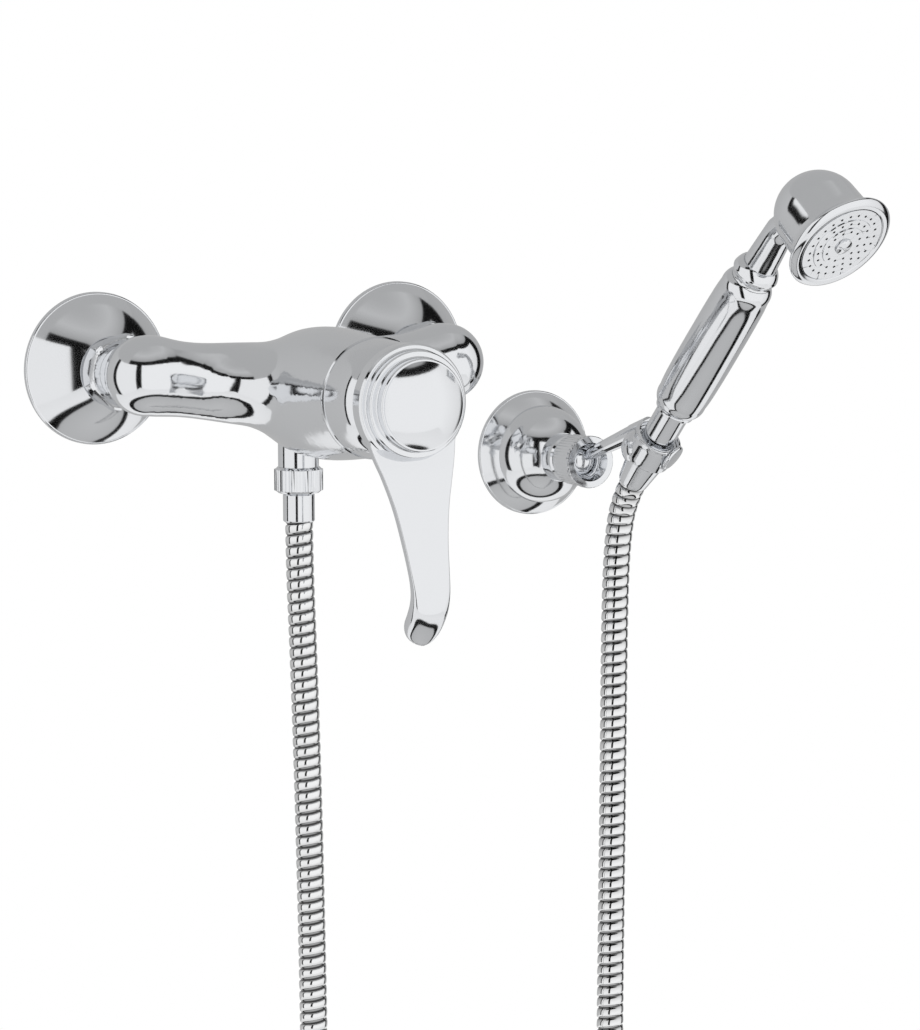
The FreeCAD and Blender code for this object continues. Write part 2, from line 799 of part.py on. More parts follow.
def cartridge():
    """The ceramic cartridge: base with three ports, housing, two discs, turning collar, and the
    stem that tilts on its pin and carries the lever."""
    radius, port = S.cartridge_radius, S.port_radius
    base = cylinder("base_blank", radius, S.base_height, shifted(0, 0, S.seat_distance))
    side, rise, drain = S.port_offset, S.port_rise, S.drain_drop
    ports = (("cold", side, rise), ("hot", -side, rise), ("mixed", 0, -drain))
    keep(ported("base", base, port, S.seat_distance, S.base_height, ports), "cartridge_base", WALL_BARREL)
    fixed = cylinder("disc_blank", S.disc_radius, S.disc_thickness, shifted(0, 0, BASE_TOP))
    side, rise, drain = side * 0.72, rise * 0.75, drain * 0.73
    ports = (("cold", side, rise), ("hot", -side, rise), ("mixed", 0, -drain))
    keep(ported("disc", fixed, port, BASE_TOP, S.disc_thickness, ports), "ceramic_disc_fixed", WALL_BARREL)
    foot = S.stem_foot_radius
    socket = foot * 1.4
    floor = SLIDER_LOW + S.disc_thickness / 2
    pocket = SLIDER_LOW + S.disc_thickness * 0.3
    keep(turned("slider", [
        (0, pocket), (S.slider_radius * 0.38, pocket), (S.slider_radius * 0.52, SLIDER_LOW),
        (S.slider_radius, SLIDER_LOW), (S.slider_radius, SLIDER_TOP), (socket, SLIDER_TOP), (socket, floor),
        (0, floor)]), "ceramic_disc_moving", WALL_BARREL)
    wall, mouth = S.housing_wall, S.housing_mouth_radius
    inner = radius - wall
    keep(turned("housing", [
        (inner, BASE_TOP), (radius, BASE_TOP), (radius, HOUSING_TOP), (mouth, HOUSING_TOP),
        (mouth, HOUSING_TOP - wall), (inner, HOUSING_TOP - wall)]), "cartridge_housing", WALL_BARREL)
    slack = S.joint_gap * 3
    carrier_low = SLIDER_TOP + S.joint_gap + S.base_height / 2
    carrier_high = HOUSING_TOP - wall - slack
    carrier_top = HOUSING_TOP + wall * 0.75
    ball, stem, collar = S.stem_ball_radius, S.stem_radius, S.collar_radius
    throat = ball + slack
    across = FreeCAD.Rotation(V(0, 1, 0), 90)

    def pin(name, gap, length):
        place = FreeCAD.Placement(vec(-length / 2, 0, PIVOT), across)
        return cylinder(name, S.stem_pin_radius + gap, length, place)

    rim = inner - slack
    carrier = turned("carrier", [
        (throat, carrier_low), (rim, carrier_low), (rim, carrier_high), (collar, carrier_high),
        (collar, carrier_top), (collar - wall / 2, carrier_top), (throat, carrier_high - wall / 2)])
    fit = S.thread_gap / 2
    keep(cut("carrier_cut", carrier, pin("carrier_pin_bore", fit, S.stem_pin_length + fit * 2)),
         "cartridge_collar", WALL_BARREL)
    keep(pin("pivot_pin", 0, S.stem_pin_length), "cartridge_pin", WALL_BARREL)
    top = PIVOT + S.stem_length
    tip = floor + slack
    screw, depth = S.lever_screw_radius, top - S.lever_screw_length
    edge = foot * 0.3
    blank = turned("stem", [
        (0, tip), (foot - edge, tip), (foot, tip + edge), (foot, PIVOT - ball * 0.9),
        (stem * 0.95, PIVOT - ball * 0.72), (ball, PIVOT, 40), (stem, PIVOT + ball * 0.685, 40), (stem, top),
        (screw, top), (screw, depth), (0, depth)])
    keep(cut("stem_cut", blank, pin("stem_pin_bore", S.thread_gap, ball * 3)), "cartridge_stem", WALL_BARREL)


def clamp_nut():
    """The threaded ring that holds the cartridge down on its seat."""
    low = HOUSING_TOP
    high = low + S.clamp_length
    inner = S.clamp_mouth_radius
    keep(turned("clamp", tube_outline(inner, S.clamp_outer_radius, low, high)), "cartridge_nut", WALL_BARREL)


def shroud():
    """The domed cover over the cartridge nut, with a thin bead where it meets the barrel."""
    low, wall, radius, bead = S.barrel_front, S.shroud_wall, S.shroud_radius, S.shroud_bead
    shoulder = low + S.shroud_shoulder
    top = low + S.shroud_length
    taper = wall * 1.08
    mouth, rim = S.shroud_mouth_radius, radius + bead
    keep(turned("shroud", [
        (radius - wall, low), (rim, low), (rim, low + bead * 1.7), (radius, low + bead * 2.3),
        (radius - taper, shoulder, 5), (mouth, top, 52), (mouth, top - wall),
        (radius - wall - taper, shoulder, -52)]), "dome_shroud", WALL_BARREL)


def lever_side():
    """The blade seen from the side, as a flat face in the plane x = 0 of the barrel's frame. The
    spline points are placed by blade thicknesses from the disc's edge or from the tip."""
    thick, tip = float(S.blade_thickness), float(S.tip_thickness)
    slope = math.tan(math.radians(float(S.blade_lean)))
    reach, front = float(S.lever_reach), float(S.lever_front)
    root = float(S.lever_radius) - 2.0 * thick
    knee = float(S.lever_radius) + 1.25 * thick
    level = front - 0.1 * thick

    def place(drop, behind):
        """A point at a drop below the axis and a depth behind the blade's leaning line."""
        return V(0, -drop, level + slope * max(drop - root, 0.0) - behind)

    end = place(reach, 1.25 * thick + tip * 0.8)
    outer = Part.BSplineCurve()
    outer.interpolate([
        place(root, 0.0),
        place(knee, -0.35 * thick),
        place(knee + 6.25 * thick, -0.35 * thick),
        place(reach - 6.25 * thick, -0.42 * thick),
        place(reach - 4.4 * thick, -0.1 * thick),
        place(reach - 2.3 * thick, 1.2 * thick),
        place(reach - 0.8 * thick, 2.4 * thick),
        end,
    ])
    inner = Part.BSplineCurve()
    inner.interpolate([
        end,
        place(reach - 0.5 * thick, 1.4 * thick + tip),
        place(reach - 1.4 * thick, 1.65 * thick + tip),
        place(reach - 2.4 * thick, 1.25 * thick + tip),
        place(reach - 3.8 * thick, 2.4 * thick),
        place(reach - 5.2 * thick, 1.2 * thick),
        place(reach - 8.0 * thick, 0.62 * thick),
        place(knee + 6.25 * thick, 0.65 * thick),
        place(knee, 0.65 * thick),
        place(root, thick),
    ])
    close = Part.LineSegment(place(root, thick), place(root, 0.0))
    return Part.Face(Part.Wire([outer.toShape(), inner.toShape(), close.toShape()]))


def lever_front_outline():
    """The blade seen from the front: wide at the disc, drawn in to a slim handle with a round end.
    The steps are given in blade thicknesses."""
    thick, reach, edge = float(S.blade_thickness), float(S.lever_reach), float(S.lever_radius)
    half, root = float(S.blade_width) / 2, float(S.blade_root_width) / 2
    side = [
        V(root, -edge + 2.0 * thick, 0),
        V(root - 0.95 * thick, -edge - 1.25 * thick, 0),
        V(half + 0.9 * thick, -edge - 4.5 * thick, 0),
        V(half + 0.325 * thick, -edge - 8.0 * thick, 0),
        V(half, -edge - 11.25 * thick, 0),
        V(half - 0.15 * thick, -reach + 5.2 * thick, 0),
        V(half - 0.2 * thick, -reach + 3.2 * thick, 0),
        V(half - 0.6 * thick, -reach + 1.5 * thick, 0),
        V(0, -reach, 0),
    ]
    free = len(side) - 2
    curve = Part.BSplineCurve()
    curve.interpolate(side, Tangents=[V(0, -1, 0)] + [V(0, 0, 0)] * free + [V(-1, 0, 0)],
                      TangentFlags=[True] + [False] * free + [True])
    right = curve.toShape()
    left = right.mirror(V(0, 0, 0), V(1, 0, 0))
    close = Part.LineSegment(V(-root, -edge + 2.0 * thick, 0), V(root, -edge + 2.0 * thick, 0)).toShape()
    return Part.Face(Part.Wire(Part.sortEdges([right, left, close])[0]))


def lever():
    """The lever: a stepped disc, hollow behind and before its web, and the blade that hangs from it."""
    back, front = float(S.lever_back), float(S.lever_front)
    radius, wall, edge = float(S.lever_radius), float(S.lever_rim_wall), float(S.lever_edge)
    step, crown = float(S.step_radius), float(S.crown_radius)
    step_top = front + float(S.step_height)
    crown_top = front + float(S.crown_height)
    boss, stem = float(S.lever_boss_radius), float(S.stem_radius + S.thread_gap)
    boss_back = back - float(S.lever_boss_depth)
    stem_top = float(PIVOT + S.stem_length)
    floor = stem_top + float(S.lever_seat)
    button = float(S.button_radius + S.joint_gap)
    hole = float(S.lever_screw_radius + S.joint_gap)
    points = [
        (radius - wall, back), (radius - edge, back), (radius, back + edge), (radius, front - edge * 2),
        (radius - edge * 1.6, front), (step + edge, front), (step, front + edge), (step, step_top - edge),
        (step - edge, step_top), (crown + edge, step_top), (crown, step_top + edge),
        (crown, crown_top - edge), (crown - edge, crown_top), (button, crown_top), (button, floor),
        (hole, floor), (hole, stem_top),
        (stem, stem_top), (stem, boss_back), (boss, boss_back), (boss, stem_top),
        (radius - wall * 2.4, stem_top), (radius - wall, stem_top - wall * 0.6),
    ]
    wire = Part.makePolygon([V(r, 0, z) for r, z in points + points[:1]])
    disc = Part.Face(wire).revolve(V(0, 0, 0), V(0, 0, 1), 360)
    side = lever_side()
    side.translate(V(-radius, 0, 0))
    blade = side.extrude(V(2 * radius, 0, 0))
    face = lever_front_outline()
    face.translate(V(0, 0, back - radius))
    blade = blade.common(face.extrude(V(0, 0, 4 * radius)))
    keep_out = Part.makeCylinder(step, 2 * radius, V(0, 0, back - radius))
    blade = blade.cut(keep_out)
    keep(feature("lever_casting", disc.fuse(blade)), "lever", WALL_BARREL)


def lever_button():
    """The domed cap in the lever's crown, over the screw."""
    wall, radius, dome = S.button_wall, S.button_radius, S.button_dome
    edge = S.lever_front + S.crown_height + S.joint_gap * 4
    low = edge - S.button_skirt
    inside = dome - wall * 0.4
    keep(turned("button", [
        (radius - wall, low), (radius, low), (radius, edge),
        (0, edge + dome, cap_turn(radius, dome)), (0, edge + dome - wall),
        (radius - wall, edge - wall * 0.6, -cap_turn(radius - wall, inside))]), "lever_button", WALL_BARREL)


def lever_screw():
    """The screw under the button, which holds the lever on the stem."""
    top = PIVOT + S.stem_length + S.lever_seat
    radius = S.lever_screw_radius
    shank, head, key = radius - S.thread_gap, radius * 1.7, radius * 0.58
    crown = top + radius * 1.1
    tip, floor = top - S.lever_screw_length, top + radius / 2
    keep(turned("lever_fastener", [
        (0, tip), (shank, tip), (shank, top), (head, top), (head, crown), (key, crown), (key, floor),
        (0, floor)]), "lever_screw", WALL_BARREL)


# Outlet and the hose's lower end, measured down from the inlets' height

NIPPLE_END = S.outlet_shoulder + S.outlet_thread_length
WASHER_END = NIPPLE_END + S.hose_washer_thickness
NUT_TOP = S.outlet_shoulder + 0.2
NUT_END = NUT_TOP + S.hose_nut_length
FLANGE_END = WASHER_END + S.tail_flange


def outlet():
    """The outlet nipple screwed into the body, with the hose's thread at its foot."""
    bore = S.outlet_bore
    outline = [(bore, S.outlet_top), (S.outlet_radius, S.outlet_top), (S.outlet_radius, S.outlet_shoulder),
               (S.outlet_thread_radius, S.outlet_shoulder), (S.outlet_thread_radius, NIPPLE_END),
               (bore, NIPPLE_END)]
    keep(turned("nipple", outline), "outlet_nipple", OUTLET)


def hose_foot():
    """The fluted nut, washer, tail and ferrule at the mixer's end of the hose."""
    bore, flange = S.outlet_thread_radius + S.thread_gap, S.outlet_thread_radius - S.joint_gap * 2
    tube = S.tail_tube_radius
    lip = tube + S.joint_gap * 3
    radius, edge = S.hose_nut_radius - S.flute_depth * 2, S.flute_depth * 2
    blank = knurled("nut_flutes", S.hose_nut_radius, NUT_TOP + edge * 1.4, NUT_END - edge * 1.7,
                    S.flute_count, S.flute_depth)
    core = turned("nut_core", [
        (bore, NUT_TOP), (radius - edge, NUT_TOP), (radius, NUT_TOP + edge), (radius, NUT_END - edge * 1.3),
        (radius - edge * 1.6, NUT_END), (lip, NUT_END), (lip, FLANGE_END), (bore, FLANGE_END)])
    opening = cylinder("nut_opening", radius - S.flute_depth, S.hose_nut_length, shifted(0, 0, NUT_TOP))
    ring = cut("nut_ring", blank, opening)
    keep(fuse("hose_nut_solid", [core, ring]), "hose_nut", OUTLET)
    keep(turned("foot_washer", tube_outline(S.tail_bore_radius, flange, NIPPLE_END, WASHER_END)),
         "hose_washer_mixer", OUTLET)
    hose_start = as_size(-HOSE_ROUTE[0][2])
    tail_end = hose_start + S.tail_depth
    keep(turned("foot_tail", [
        (S.tail_bore_radius, WASHER_END), (flange, WASHER_END), (flange, FLANGE_END), (tube, FLANGE_END),
        (tube, tail_end), (S.tail_bore_radius, tail_end)]), "hose_tail_mixer", OUTLET)
    top = NUT_END + S.joint_gap * 2
    low = top + S.ferrule_length
    inner, outer = S.hose_radius + S.hose_gap, S.ferrule_radius
    keep(turned("foot_ferrule", [
        (tube + S.joint_gap, top), (outer - edge, top), (outer, top + edge), (outer, low - edge * 0.7),
        (outer - edge * 0.6, low), (inner, low), (inner, hose_start), (tube + S.joint_gap, hose_start)]),
        "hose_ferrule", OUTLET)


# Hose

def hose_path():
    """The hose's centre line: straight runs joined by tangent arcs."""
    points = [V(*p) for p in HOSE_ROUTE]
    share = 0.45
    edges = []
    at = points[0]
    for before, corner, after in zip(points, points[1:], points[2:]):
        arriving = (corner - before).normalize()
        leaving = (after - corner).normalize()
        reach = share * min((corner - before).Length, (after - corner).Length)
        turn = arriving.getAngle(leaving)
        radius = reach / math.tan(turn / 2)
        first, last = corner - arriving * reach, corner + leaving * reach
        inward = (leaving - arriving).normalize()
        middle = corner + inward * (radius / math.cos(turn / 2) - radius)
        edges.append(Part.LineSegment(at, first).toShape())
        edges.append(Part.Arc(first, middle, last).toShape())
        at = last
    edges.append(Part.LineSegment(at, points[-1]).toShape())
    return edges


def ring_at(edges, lengths, distance, radius):
    """A circle square to the path, a given distance along it, on a steady X axis."""
    for edge, length in zip(edges, lengths):
        if distance <= length or edge is edges[-1]:
            break
        distance -= length
    parameter = edge.getParameterByLength(min(distance, length))
    tangent = edge.tangentAt(parameter)
    ring = Part.makeCircle(radius)
    ring.Placement = aimed(edge.valueAt(parameter), tangent, V(0, -1, 0))
    return Part.Wire([ring])


def hose():
    """The metal hose: raised ribs with narrow grooves between them, and its bore."""
    edges = hose_path()
    lengths = [edge.Length for edge in edges]
    total = sum(lengths)
    outer = float(S.hose_radius)
    inner = outer - float(S.hose_groove)
    count = int(round(float(S.hose_ribs)))
    pitch = total / count
    rings = []
    for i in range(count):
        for share, radius in ((0.0, inner), (0.12, outer), (0.72, outer), (0.84, inner)):
            rings.append(ring_at(edges, lengths, (i + share) * pitch, radius))
    rings.append(ring_at(edges, lengths, total, inner))
    skin = Part.makeLoft(rings, True, True)
    start = ring_at(edges, lengths, 0.0, float(S.hose_bore_radius))
    bore = Part.Wire(edges).makePipeShell([start], True, False)
    solid = skin.cut(bore)
    print("hose length", round(total, 1))
    keep(feature("hose_solid", solid), "hose")


# Swivel bracket, measured from the wall along its own axis

def bracket_flange():
    """The domed wall flange: a shallow skirt, a step and a hemisphere round the socket."""
    wall, edge, height = S.flange_wall, S.flange_edge, S.flange_height
    radius, step, neck = S.flange_radius, S.flange_step_radius, S.flange_neck_radius
    hole = S.socket_stem_radius + S.joint_gap * 3
    keep(turned("flange", [
        (radius - wall, 0), (radius, 0), (radius, edge), (radius - edge * 0.67, edge * 1.67, 90),
        (step, S.flange_step, 12), (neck, height, 58), (hole, height), (hole, height - wall),
        (neck - wall * 0.53, height - wall), (step - wall, S.flange_step - wall * 0.4, -56),
        (radius - wall * 1.8, edge * 1.17, -12)]), "bracket_flange", WALL_BRACKET)


def bracket_plate():
    """The plate screwed to the wall, with the threaded boss that the socket screws into."""
    bore, thick = S.socket_stem_radius + S.thread_gap, S.plate_thickness
    top = thick + S.plate_boss_height
    plate = turned("plate", [
        (bore, 0), (S.plate_radius, 0), (S.plate_radius, thick), (S.plate_boss_radius, thick),
        (S.plate_boss_radius, top), (bore, top)])
    holes = []
    for name, side in (("left", -1), ("right", 1)):
        holes.append(cylinder("plate_hole_" + name, S.plate_screw_radius + S.joint_gap * 2, thick,
                              shifted(S.plate_screw_offset * side, 0, 0)))
    keep(cut("plate_cut", plate, fuse("plate_holes", holes)), "bracket_plate", WALL_BRACKET)


def bracket_fixings():
    """The two wall screws and their plugs."""
    seat, radius, head = S.plate_thickness, S.plate_screw_radius, S.plate_screw_head_radius
    tip = seat - S.plate_screw_length
    crown = seat + head * 0.6
    plug, low, bore = S.plug_radius, -S.plug_length, S.plate_screw_radius + S.thread_gap / 2
    for name, side in (("left", -1), ("right", 1)):
        place = WALL_BRACKET.multiply(shifted(S.plate_screw_offset * side, 0, 0))
        keep(turned("wall_screw_" + name, [
            (0, tip), (radius, tip + plug), (radius, seat), (head, seat), (head, seat + head * 0.28),
            (head / 2, crown, 40), (0, crown)]), "wall_screw_" + name, place)
        keep(turned("wall_plug_" + name, [
            (bore, low), (plug * 0.8, low), (plug, low + plug), (plug, -S.joint_gap * 2),
            (bore, -S.joint_gap * 2)]), "wall_plug_" + name, place)


SOCKET_FACE = S.flange_height + S.joint_gap
SOCKET_END = SOCKET_FACE + S.socket_length
CUP_FLOOR = S.ball_distance - S.ball_radius - S.joint_gap * 6
CUP_RADIUS = S.ball_radius + S.joint_gap * 5
LINING_RADIUS = CUP_RADIUS - S.thread_gap


def bracket_socket():
    """The socket: a stem into the wall plate, a smooth neck, and a threaded cup for the ball."""
    stem, radius, thread = S.socket_stem_radius, S.socket_radius, S.socket_thread_radius
    low = S.plate_thickness + S.joint_gap * 10
    edge = S.socket_edge
    neck_end = SOCKET_FACE + S.socket_neck_length
    keep(turned("socket", [
        (0, low), (stem, low), (stem, SOCKET_FACE), (radius - edge * 0.6, SOCKET_FACE),
        (radius, SOCKET_FACE + edge),
        (radius, neck_end - edge * 3), (radius - edge, neck_end - edge * 2), (radius - edge, neck_end),
        (thread, neck_end), (thread, SOCKET_END), (CUP_RADIUS, SOCKET_END), (CUP_RADIUS, CUP_FLOOR),
        (0, CUP_FLOOR)]), "bracket_socket", WALL_BRACKET)


def ball_cut(name, base):
    """Hollows a ring of the bracket out to the ball, with the running gap."""
    ball = bound("Part::Sphere", name + "_ball", {"Radius": S.ball_radius + S.ball_gap},
                 shifted(0, 0, S.ball_distance))
    return cut(name, base, ball)


def ball_seat():
    """The nylon seat behind the ball, whose grip keeps the arm where it is put."""
    outline = tube_outline(S.seat_bore_radius, LINING_RADIUS, CUP_FLOOR, CUP_FLOOR + S.seat_depth)
    keep(ball_cut("seat_solid", turned("seat_ring", outline)), "ball_seat", WALL_BRACKET)


def ring_nut():
    """The knurled ring nut: its lip holds the ball in the cup and its mouth lets the arm swing."""
    low = SOCKET_FACE + S.socket_neck_length + S.joint_gap * 2
    high = low + S.ring_nut_length
    bore = S.socket_thread_radius + S.thread_gap
    radius = S.ring_nut_radius - S.flute_depth * 2
    flange, brim, mouth = S.ring_flange_radius, high - S.ring_flange, S.ring_nut_lip_radius
    lip = SOCKET_END + S.joint_gap * 2
    grip = S.ball_distance + S.ring_nut_grip
    core = turned("ring_core", [
        (bore, low), (radius, low), (radius, brim), (flange, brim), (flange, high - S.flute_depth),
        (flange - S.flute_depth, high), (S.ring_nut_mouth_radius, high), (mouth, lip + S.joint_gap * 10),
        (mouth, grip), (LINING_RADIUS, grip), (LINING_RADIUS, lip), (bore, lip)])
    flutes = knurled("ring_flutes", S.ring_nut_radius, low + S.joint_gap * 10, brim, S.knurl_count,
                     S.flute_depth)
    opening = cylinder("ring_opening", radius - S.flute_depth, S.ring_nut_length, shifted(0, 0, low))
    whole = fuse("ring_solid", [core, cut("ring_band", flutes, opening)])
    keep(ball_cut("ring_hollow", whole), "bracket_ring_nut", WALL_BRACKET)


def swivel_ball():
    """The ball on its slim neck, with the stud that screws into the rod."""
    ball, neck, root, stud = S.ball_radius, S.arm_neck_radius, S.arm_neck_length, S.arm_stud_radius
    end = root + S.arm_stud_length
    keep(turned("ball", [
        (0, -ball), (ball, 0, 90), (neck, ball * 0.95, 71), (neck, root), (stud, root), (stud, end),
        (0, end)]), "swivel_ball", aimed(BALL, ARM))


def holder_arm():
    """The rod, which turns about its own length on the ball's stud and thickens toward the holder."""
    root, length = S.arm_neck_length + S.joint_gap, S.arm_length
    start, end, spigot = S.arm_root_radius, S.arm_end_radius, S.arm_spigot_radius
    bore = S.arm_stud_radius + S.thread_gap
    floor = root + S.arm_stud_length + bore * 0.4
    tip = length + S.arm_spigot_length
    keep(turned("arm", [
        (bore, root), (start * 0.9, root), (start, root + start * 0.14), (end, length), (spigot, length),
        (spigot, tip), (0, tip), (0, floor), (bore, floor)]), "holder_arm", aimed(BALL, ARM))


# Holder and the hose's upper end, measured along the hand spray's axis from the holder

def cone_radius_at(height):
    """The outer radius of the hose's conical nut inside the holder."""
    share = (height + S.holder_foot) / (S.cone_top + S.holder_foot)
    return S.cone_foot_radius + (S.cone_top_radius - S.cone_foot_radius) * share


def holder():
    """The holder: a conical ring with a domed boss, a socket for the arm and a flat for its screw."""
    gap, rim_height = S.cone_gap, S.holder_rim
    rim, foot = S.holder_rim_radius, S.holder_foot_radius
    top, low = S.holder_top, -S.holder_foot
    edge = rim_height * 0.28
    shell = turned("holder_shell", [
        (0, low), (foot, low), (foot + gap, low + gap * 2), (rim - edge, top - rim_height - gap * 2),
        (rim, top - rim_height), (rim, top - edge), (rim - edge, top), (0, top)])
    shell.Placement = HANDSET
    boss = HOLDER - ACROSS * float(S.holder_boss_side) - FRONT * float(S.holder_boss_back)
    boss -= AXIS * float(S.holder_boss_drop)
    dome = bound("Part::Sphere", "holder_dome", {"Radius": S.holder_boss_radius},
                 FreeCAD.Placement(boss, FreeCAD.Rotation()))
    arm_end = BALL + ARM * float(S.arm_length)
    slack, slot = S.thread_gap, S.cap_shank_radius + S.thread_gap
    arm_boss = cylinder("holder_arm_boss", S.arm_end_radius + gap, S.arm_end_radius * 3,
                        aimed(arm_end + ARM * float(slack), ARM))
    screw_foot = HOLDER + AXIS * float(S.cap_rise)
    screw_boss = cylinder("holder_screw_boss", S.cap_shank_radius * 1.75, S.cap_seat,
                          aimed(screw_foot, CROSS))
    solid = chain("holder_blank", [shell, dome, arm_boss, screw_boss])
    bore_foot, bore_top = S.cone_foot_radius + gap, cone_radius_at(top) + gap
    bore = turned("holder_bore", [
        (0, low - rim), (bore_foot, low - rim), (bore_foot, low), (bore_top, top), (bore_top, top + rim),
        (0, top + rim)])
    bore.Placement = HANDSET
    spigot = cylinder("holder_arm_socket", S.arm_spigot_radius + slack, S.arm_spigot_length + gap,
                      aimed(arm_end, ARM))
    clear = S.arm_end_radius * 5
    rod_start = arm_end - ARM * float(clear - slack)
    rod = cylinder("holder_arm_rest", S.arm_end_radius * 1.5, clear, aimed(rod_start, ARM))
    shank = cylinder("holder_screw_hole", slot, clear, aimed(screw_foot, CROSS))
    face = cylinder("holder_screw_face", S.cap_radius + slack, clear,
                    aimed(screw_foot + CROSS * float(S.cap_seat), CROSS))
    keep(cut("holder_solid", solid, fuse("holder_cuts", [bore, spigot, rod, shank, face])), "holder")


def holder_screw():
    """The round-headed screw across the holder."""
    shank, head, edge = S.cap_shank_radius, S.cap_radius, S.cap_edge
    seat = S.cap_seat + S.joint_gap
    crown = S.cap_seat + S.cap_thickness
    start = cone_radius_at(0) + S.cone_gap * 2
    keep(turned("holder_knob", [
        (0, start), (shank, start), (shank, seat), (head - edge * 0.6, seat), (head, seat + edge * 0.6),
        (head, crown - edge), (head - edge, crown, 90),
        (0, crown + S.cap_crown, cap_turn(head - edge, S.cap_crown))]),
        "holder_screw", aimed(HOLDER + AXIS * float(S.cap_rise), CROSS))


TAIL_TOP = -S.cone_floor
TAIL_FLOOR = TAIL_TOP - S.tail_flange
HOSE_TOP = TAIL_FLOOR - S.joint_gap * 7


def cone_nut():
    """The conical nut that rests in the holder and screws onto the hand spray."""
    bore, socket = S.inlet_thread_radius + S.thread_gap, S.hose_radius + S.hose_gap
    slip = S.tail_tube_radius + S.joint_gap
    end, edge = S.cone_end_radius, S.cone_edge
    keep(turned("cone", [
        (socket, -S.cone_end), (end - edge / 2, -S.cone_end), (end, -S.cone_end + edge),
        (S.cone_foot_radius, -S.holder_foot), (S.cone_top_radius, S.cone_top), (bore, S.cone_top),
        (bore, TAIL_FLOOR), (slip, TAIL_FLOOR), (slip, HOSE_TOP), (socket, HOSE_TOP)]),
        "conical_nut", HANDSET)


def hose_head():
    """The tail that ties the hose's upper end into the conical nut, and its washer."""
    flange, tube, bore = S.inlet_thread_radius - S.joint_gap, S.tail_tube_radius, S.tail_bore_radius
    low = HOSE_TOP - S.tail_depth
    keep(turned("head_tail", [
        (bore, low), (tube, low), (tube, TAIL_FLOOR), (flange, TAIL_FLOOR), (flange, TAIL_TOP),
        (bore, TAIL_TOP)]), "hose_tail_handset", HANDSET)
    keep(turned("head_washer", tube_outline(bore, flange, TAIL_TOP, TAIL_TOP + S.hose_washer_thickness)),
         "hose_washer_handset", HANDSET)


# Hand spray, measured along its own axis from the holder

NECK_FOOT = TAIL_TOP + S.hose_washer_thickness
FLANGE_TOP = S.neck_top + S.neck_flange
GRIP_FOOT = FLANGE_TOP + S.joint_gap
GRIP_TOP = GRIP_FOOT + S.grip_length
COLLAR_FOOT = GRIP_TOP + S.joint_gap
COLLAR_TOP = COLLAR_FOOT + S.collar_height
TUBE_SEAT = FLANGE_TOP + S.tube_insert
TUBE_SLEEVE = S.tube_radius + S.thread_gap


def spray_inlet():
    """The lower neck: the thread for the hose, a smooth stub, a small flange and a spigot."""
    bore, thread, neck = S.neck_bore_radius, S.inlet_thread_radius, S.neck_radius
    flange, spigot, low = S.neck_flange_radius, S.spigot_radius, S.neck_top
    spigot_top = FLANGE_TOP + S.spigot_length
    edge = S.neck_flange * 0.22
    keep(turned("spray_inlet_solid", [
        (bore, NECK_FOOT), (thread, NECK_FOOT), (thread, S.cone_top - edge), (neck, S.cone_top), (neck, low),
        (flange - edge, low), (flange, low + edge), (flange, FLANGE_TOP - edge), (flange - edge, FLANGE_TOP),
        (spigot, FLANGE_TOP), (spigot, spigot_top), (TUBE_SLEEVE, spigot_top), (TUBE_SLEEVE, TUBE_SEAT),
        (bore, TUBE_SEAT)]), "handset_inlet", HANDSET)


def regulator():
    """The flow regulator that sits in the lower neck."""
    low = NECK_FOOT + S.regulator_inset
    outline = tube_outline(S.regulator_bore_radius, S.regulator_radius, low, low + S.regulator_thickness)
    keep(turned("regulator", outline), "flow_regulator", HANDSET)


def grip():
    """The barrel-shaped grip, a thin shell with a round shoulder at each end."""
    foot, top, length = GRIP_FOOT, GRIP_TOP, S.grip_length
    full, wall = S.grip_radius, S.grip_wall
    bore = S.spigot_radius + S.thread_gap
    low, rise, middle = foot + length * 0.085, foot + length * 0.2, foot + length * 0.55
    fall, high = top - length * 0.2, top - length * 0.085
    at_low, at_rise, at_fall, at_high = full * 0.935, full * 0.985, full * 0.985, full * 0.94
    keep(turned("grip", [
        (bore, foot), (S.grip_foot_radius, foot), (at_low, low, 62), (at_rise, rise, 5), (full, middle, 2),
        (at_fall, fall, 2), (at_high, high, 6), (S.grip_head_radius, top, 55), (bore, top),
        (bore, top - length * 0.077), (at_high - wall, high - wall * 1.5), (at_fall - wall, fall),
        (full - wall, middle), (at_rise - wall, rise), (at_low - wall, low + wall * 1.5),
        (bore, foot + length * 0.09)]), "handset_grip", HANDSET)


def water_tube():
    """The tube that carries the water through the grip."""
    low, high = TUBE_SEAT + S.joint_gap, GRIP_TOP + S.tube_rise
    outline = tube_outline(S.tube_bore_radius, S.tube_radius, low, high)
    keep(turned("inner_tube", outline), "handset_tube", HANDSET)


def spray_collar():
    """The lens-shaped collar between the grip and the upper neck."""
    low, height = COLLAR_FOOT, S.collar_height
    foot, edge, bore = S.collar_foot_radius, S.collar_edge_radius, S.spigot_radius - S.joint_gap * 2
    keep(turned("collar", [
        (bore, low), (foot, low), (foot * 0.967, low + height * 0.16, -60), (edge, low + height * 0.42, 30),
        (edge, low + height * 0.53, 60), (S.collar_top_radius, COLLAR_TOP, 34), (bore, COLLAR_TOP)]),
        "handset_collar", HANDSET)


BELL_MOUTH = S.bezel_height + S.joint_gap


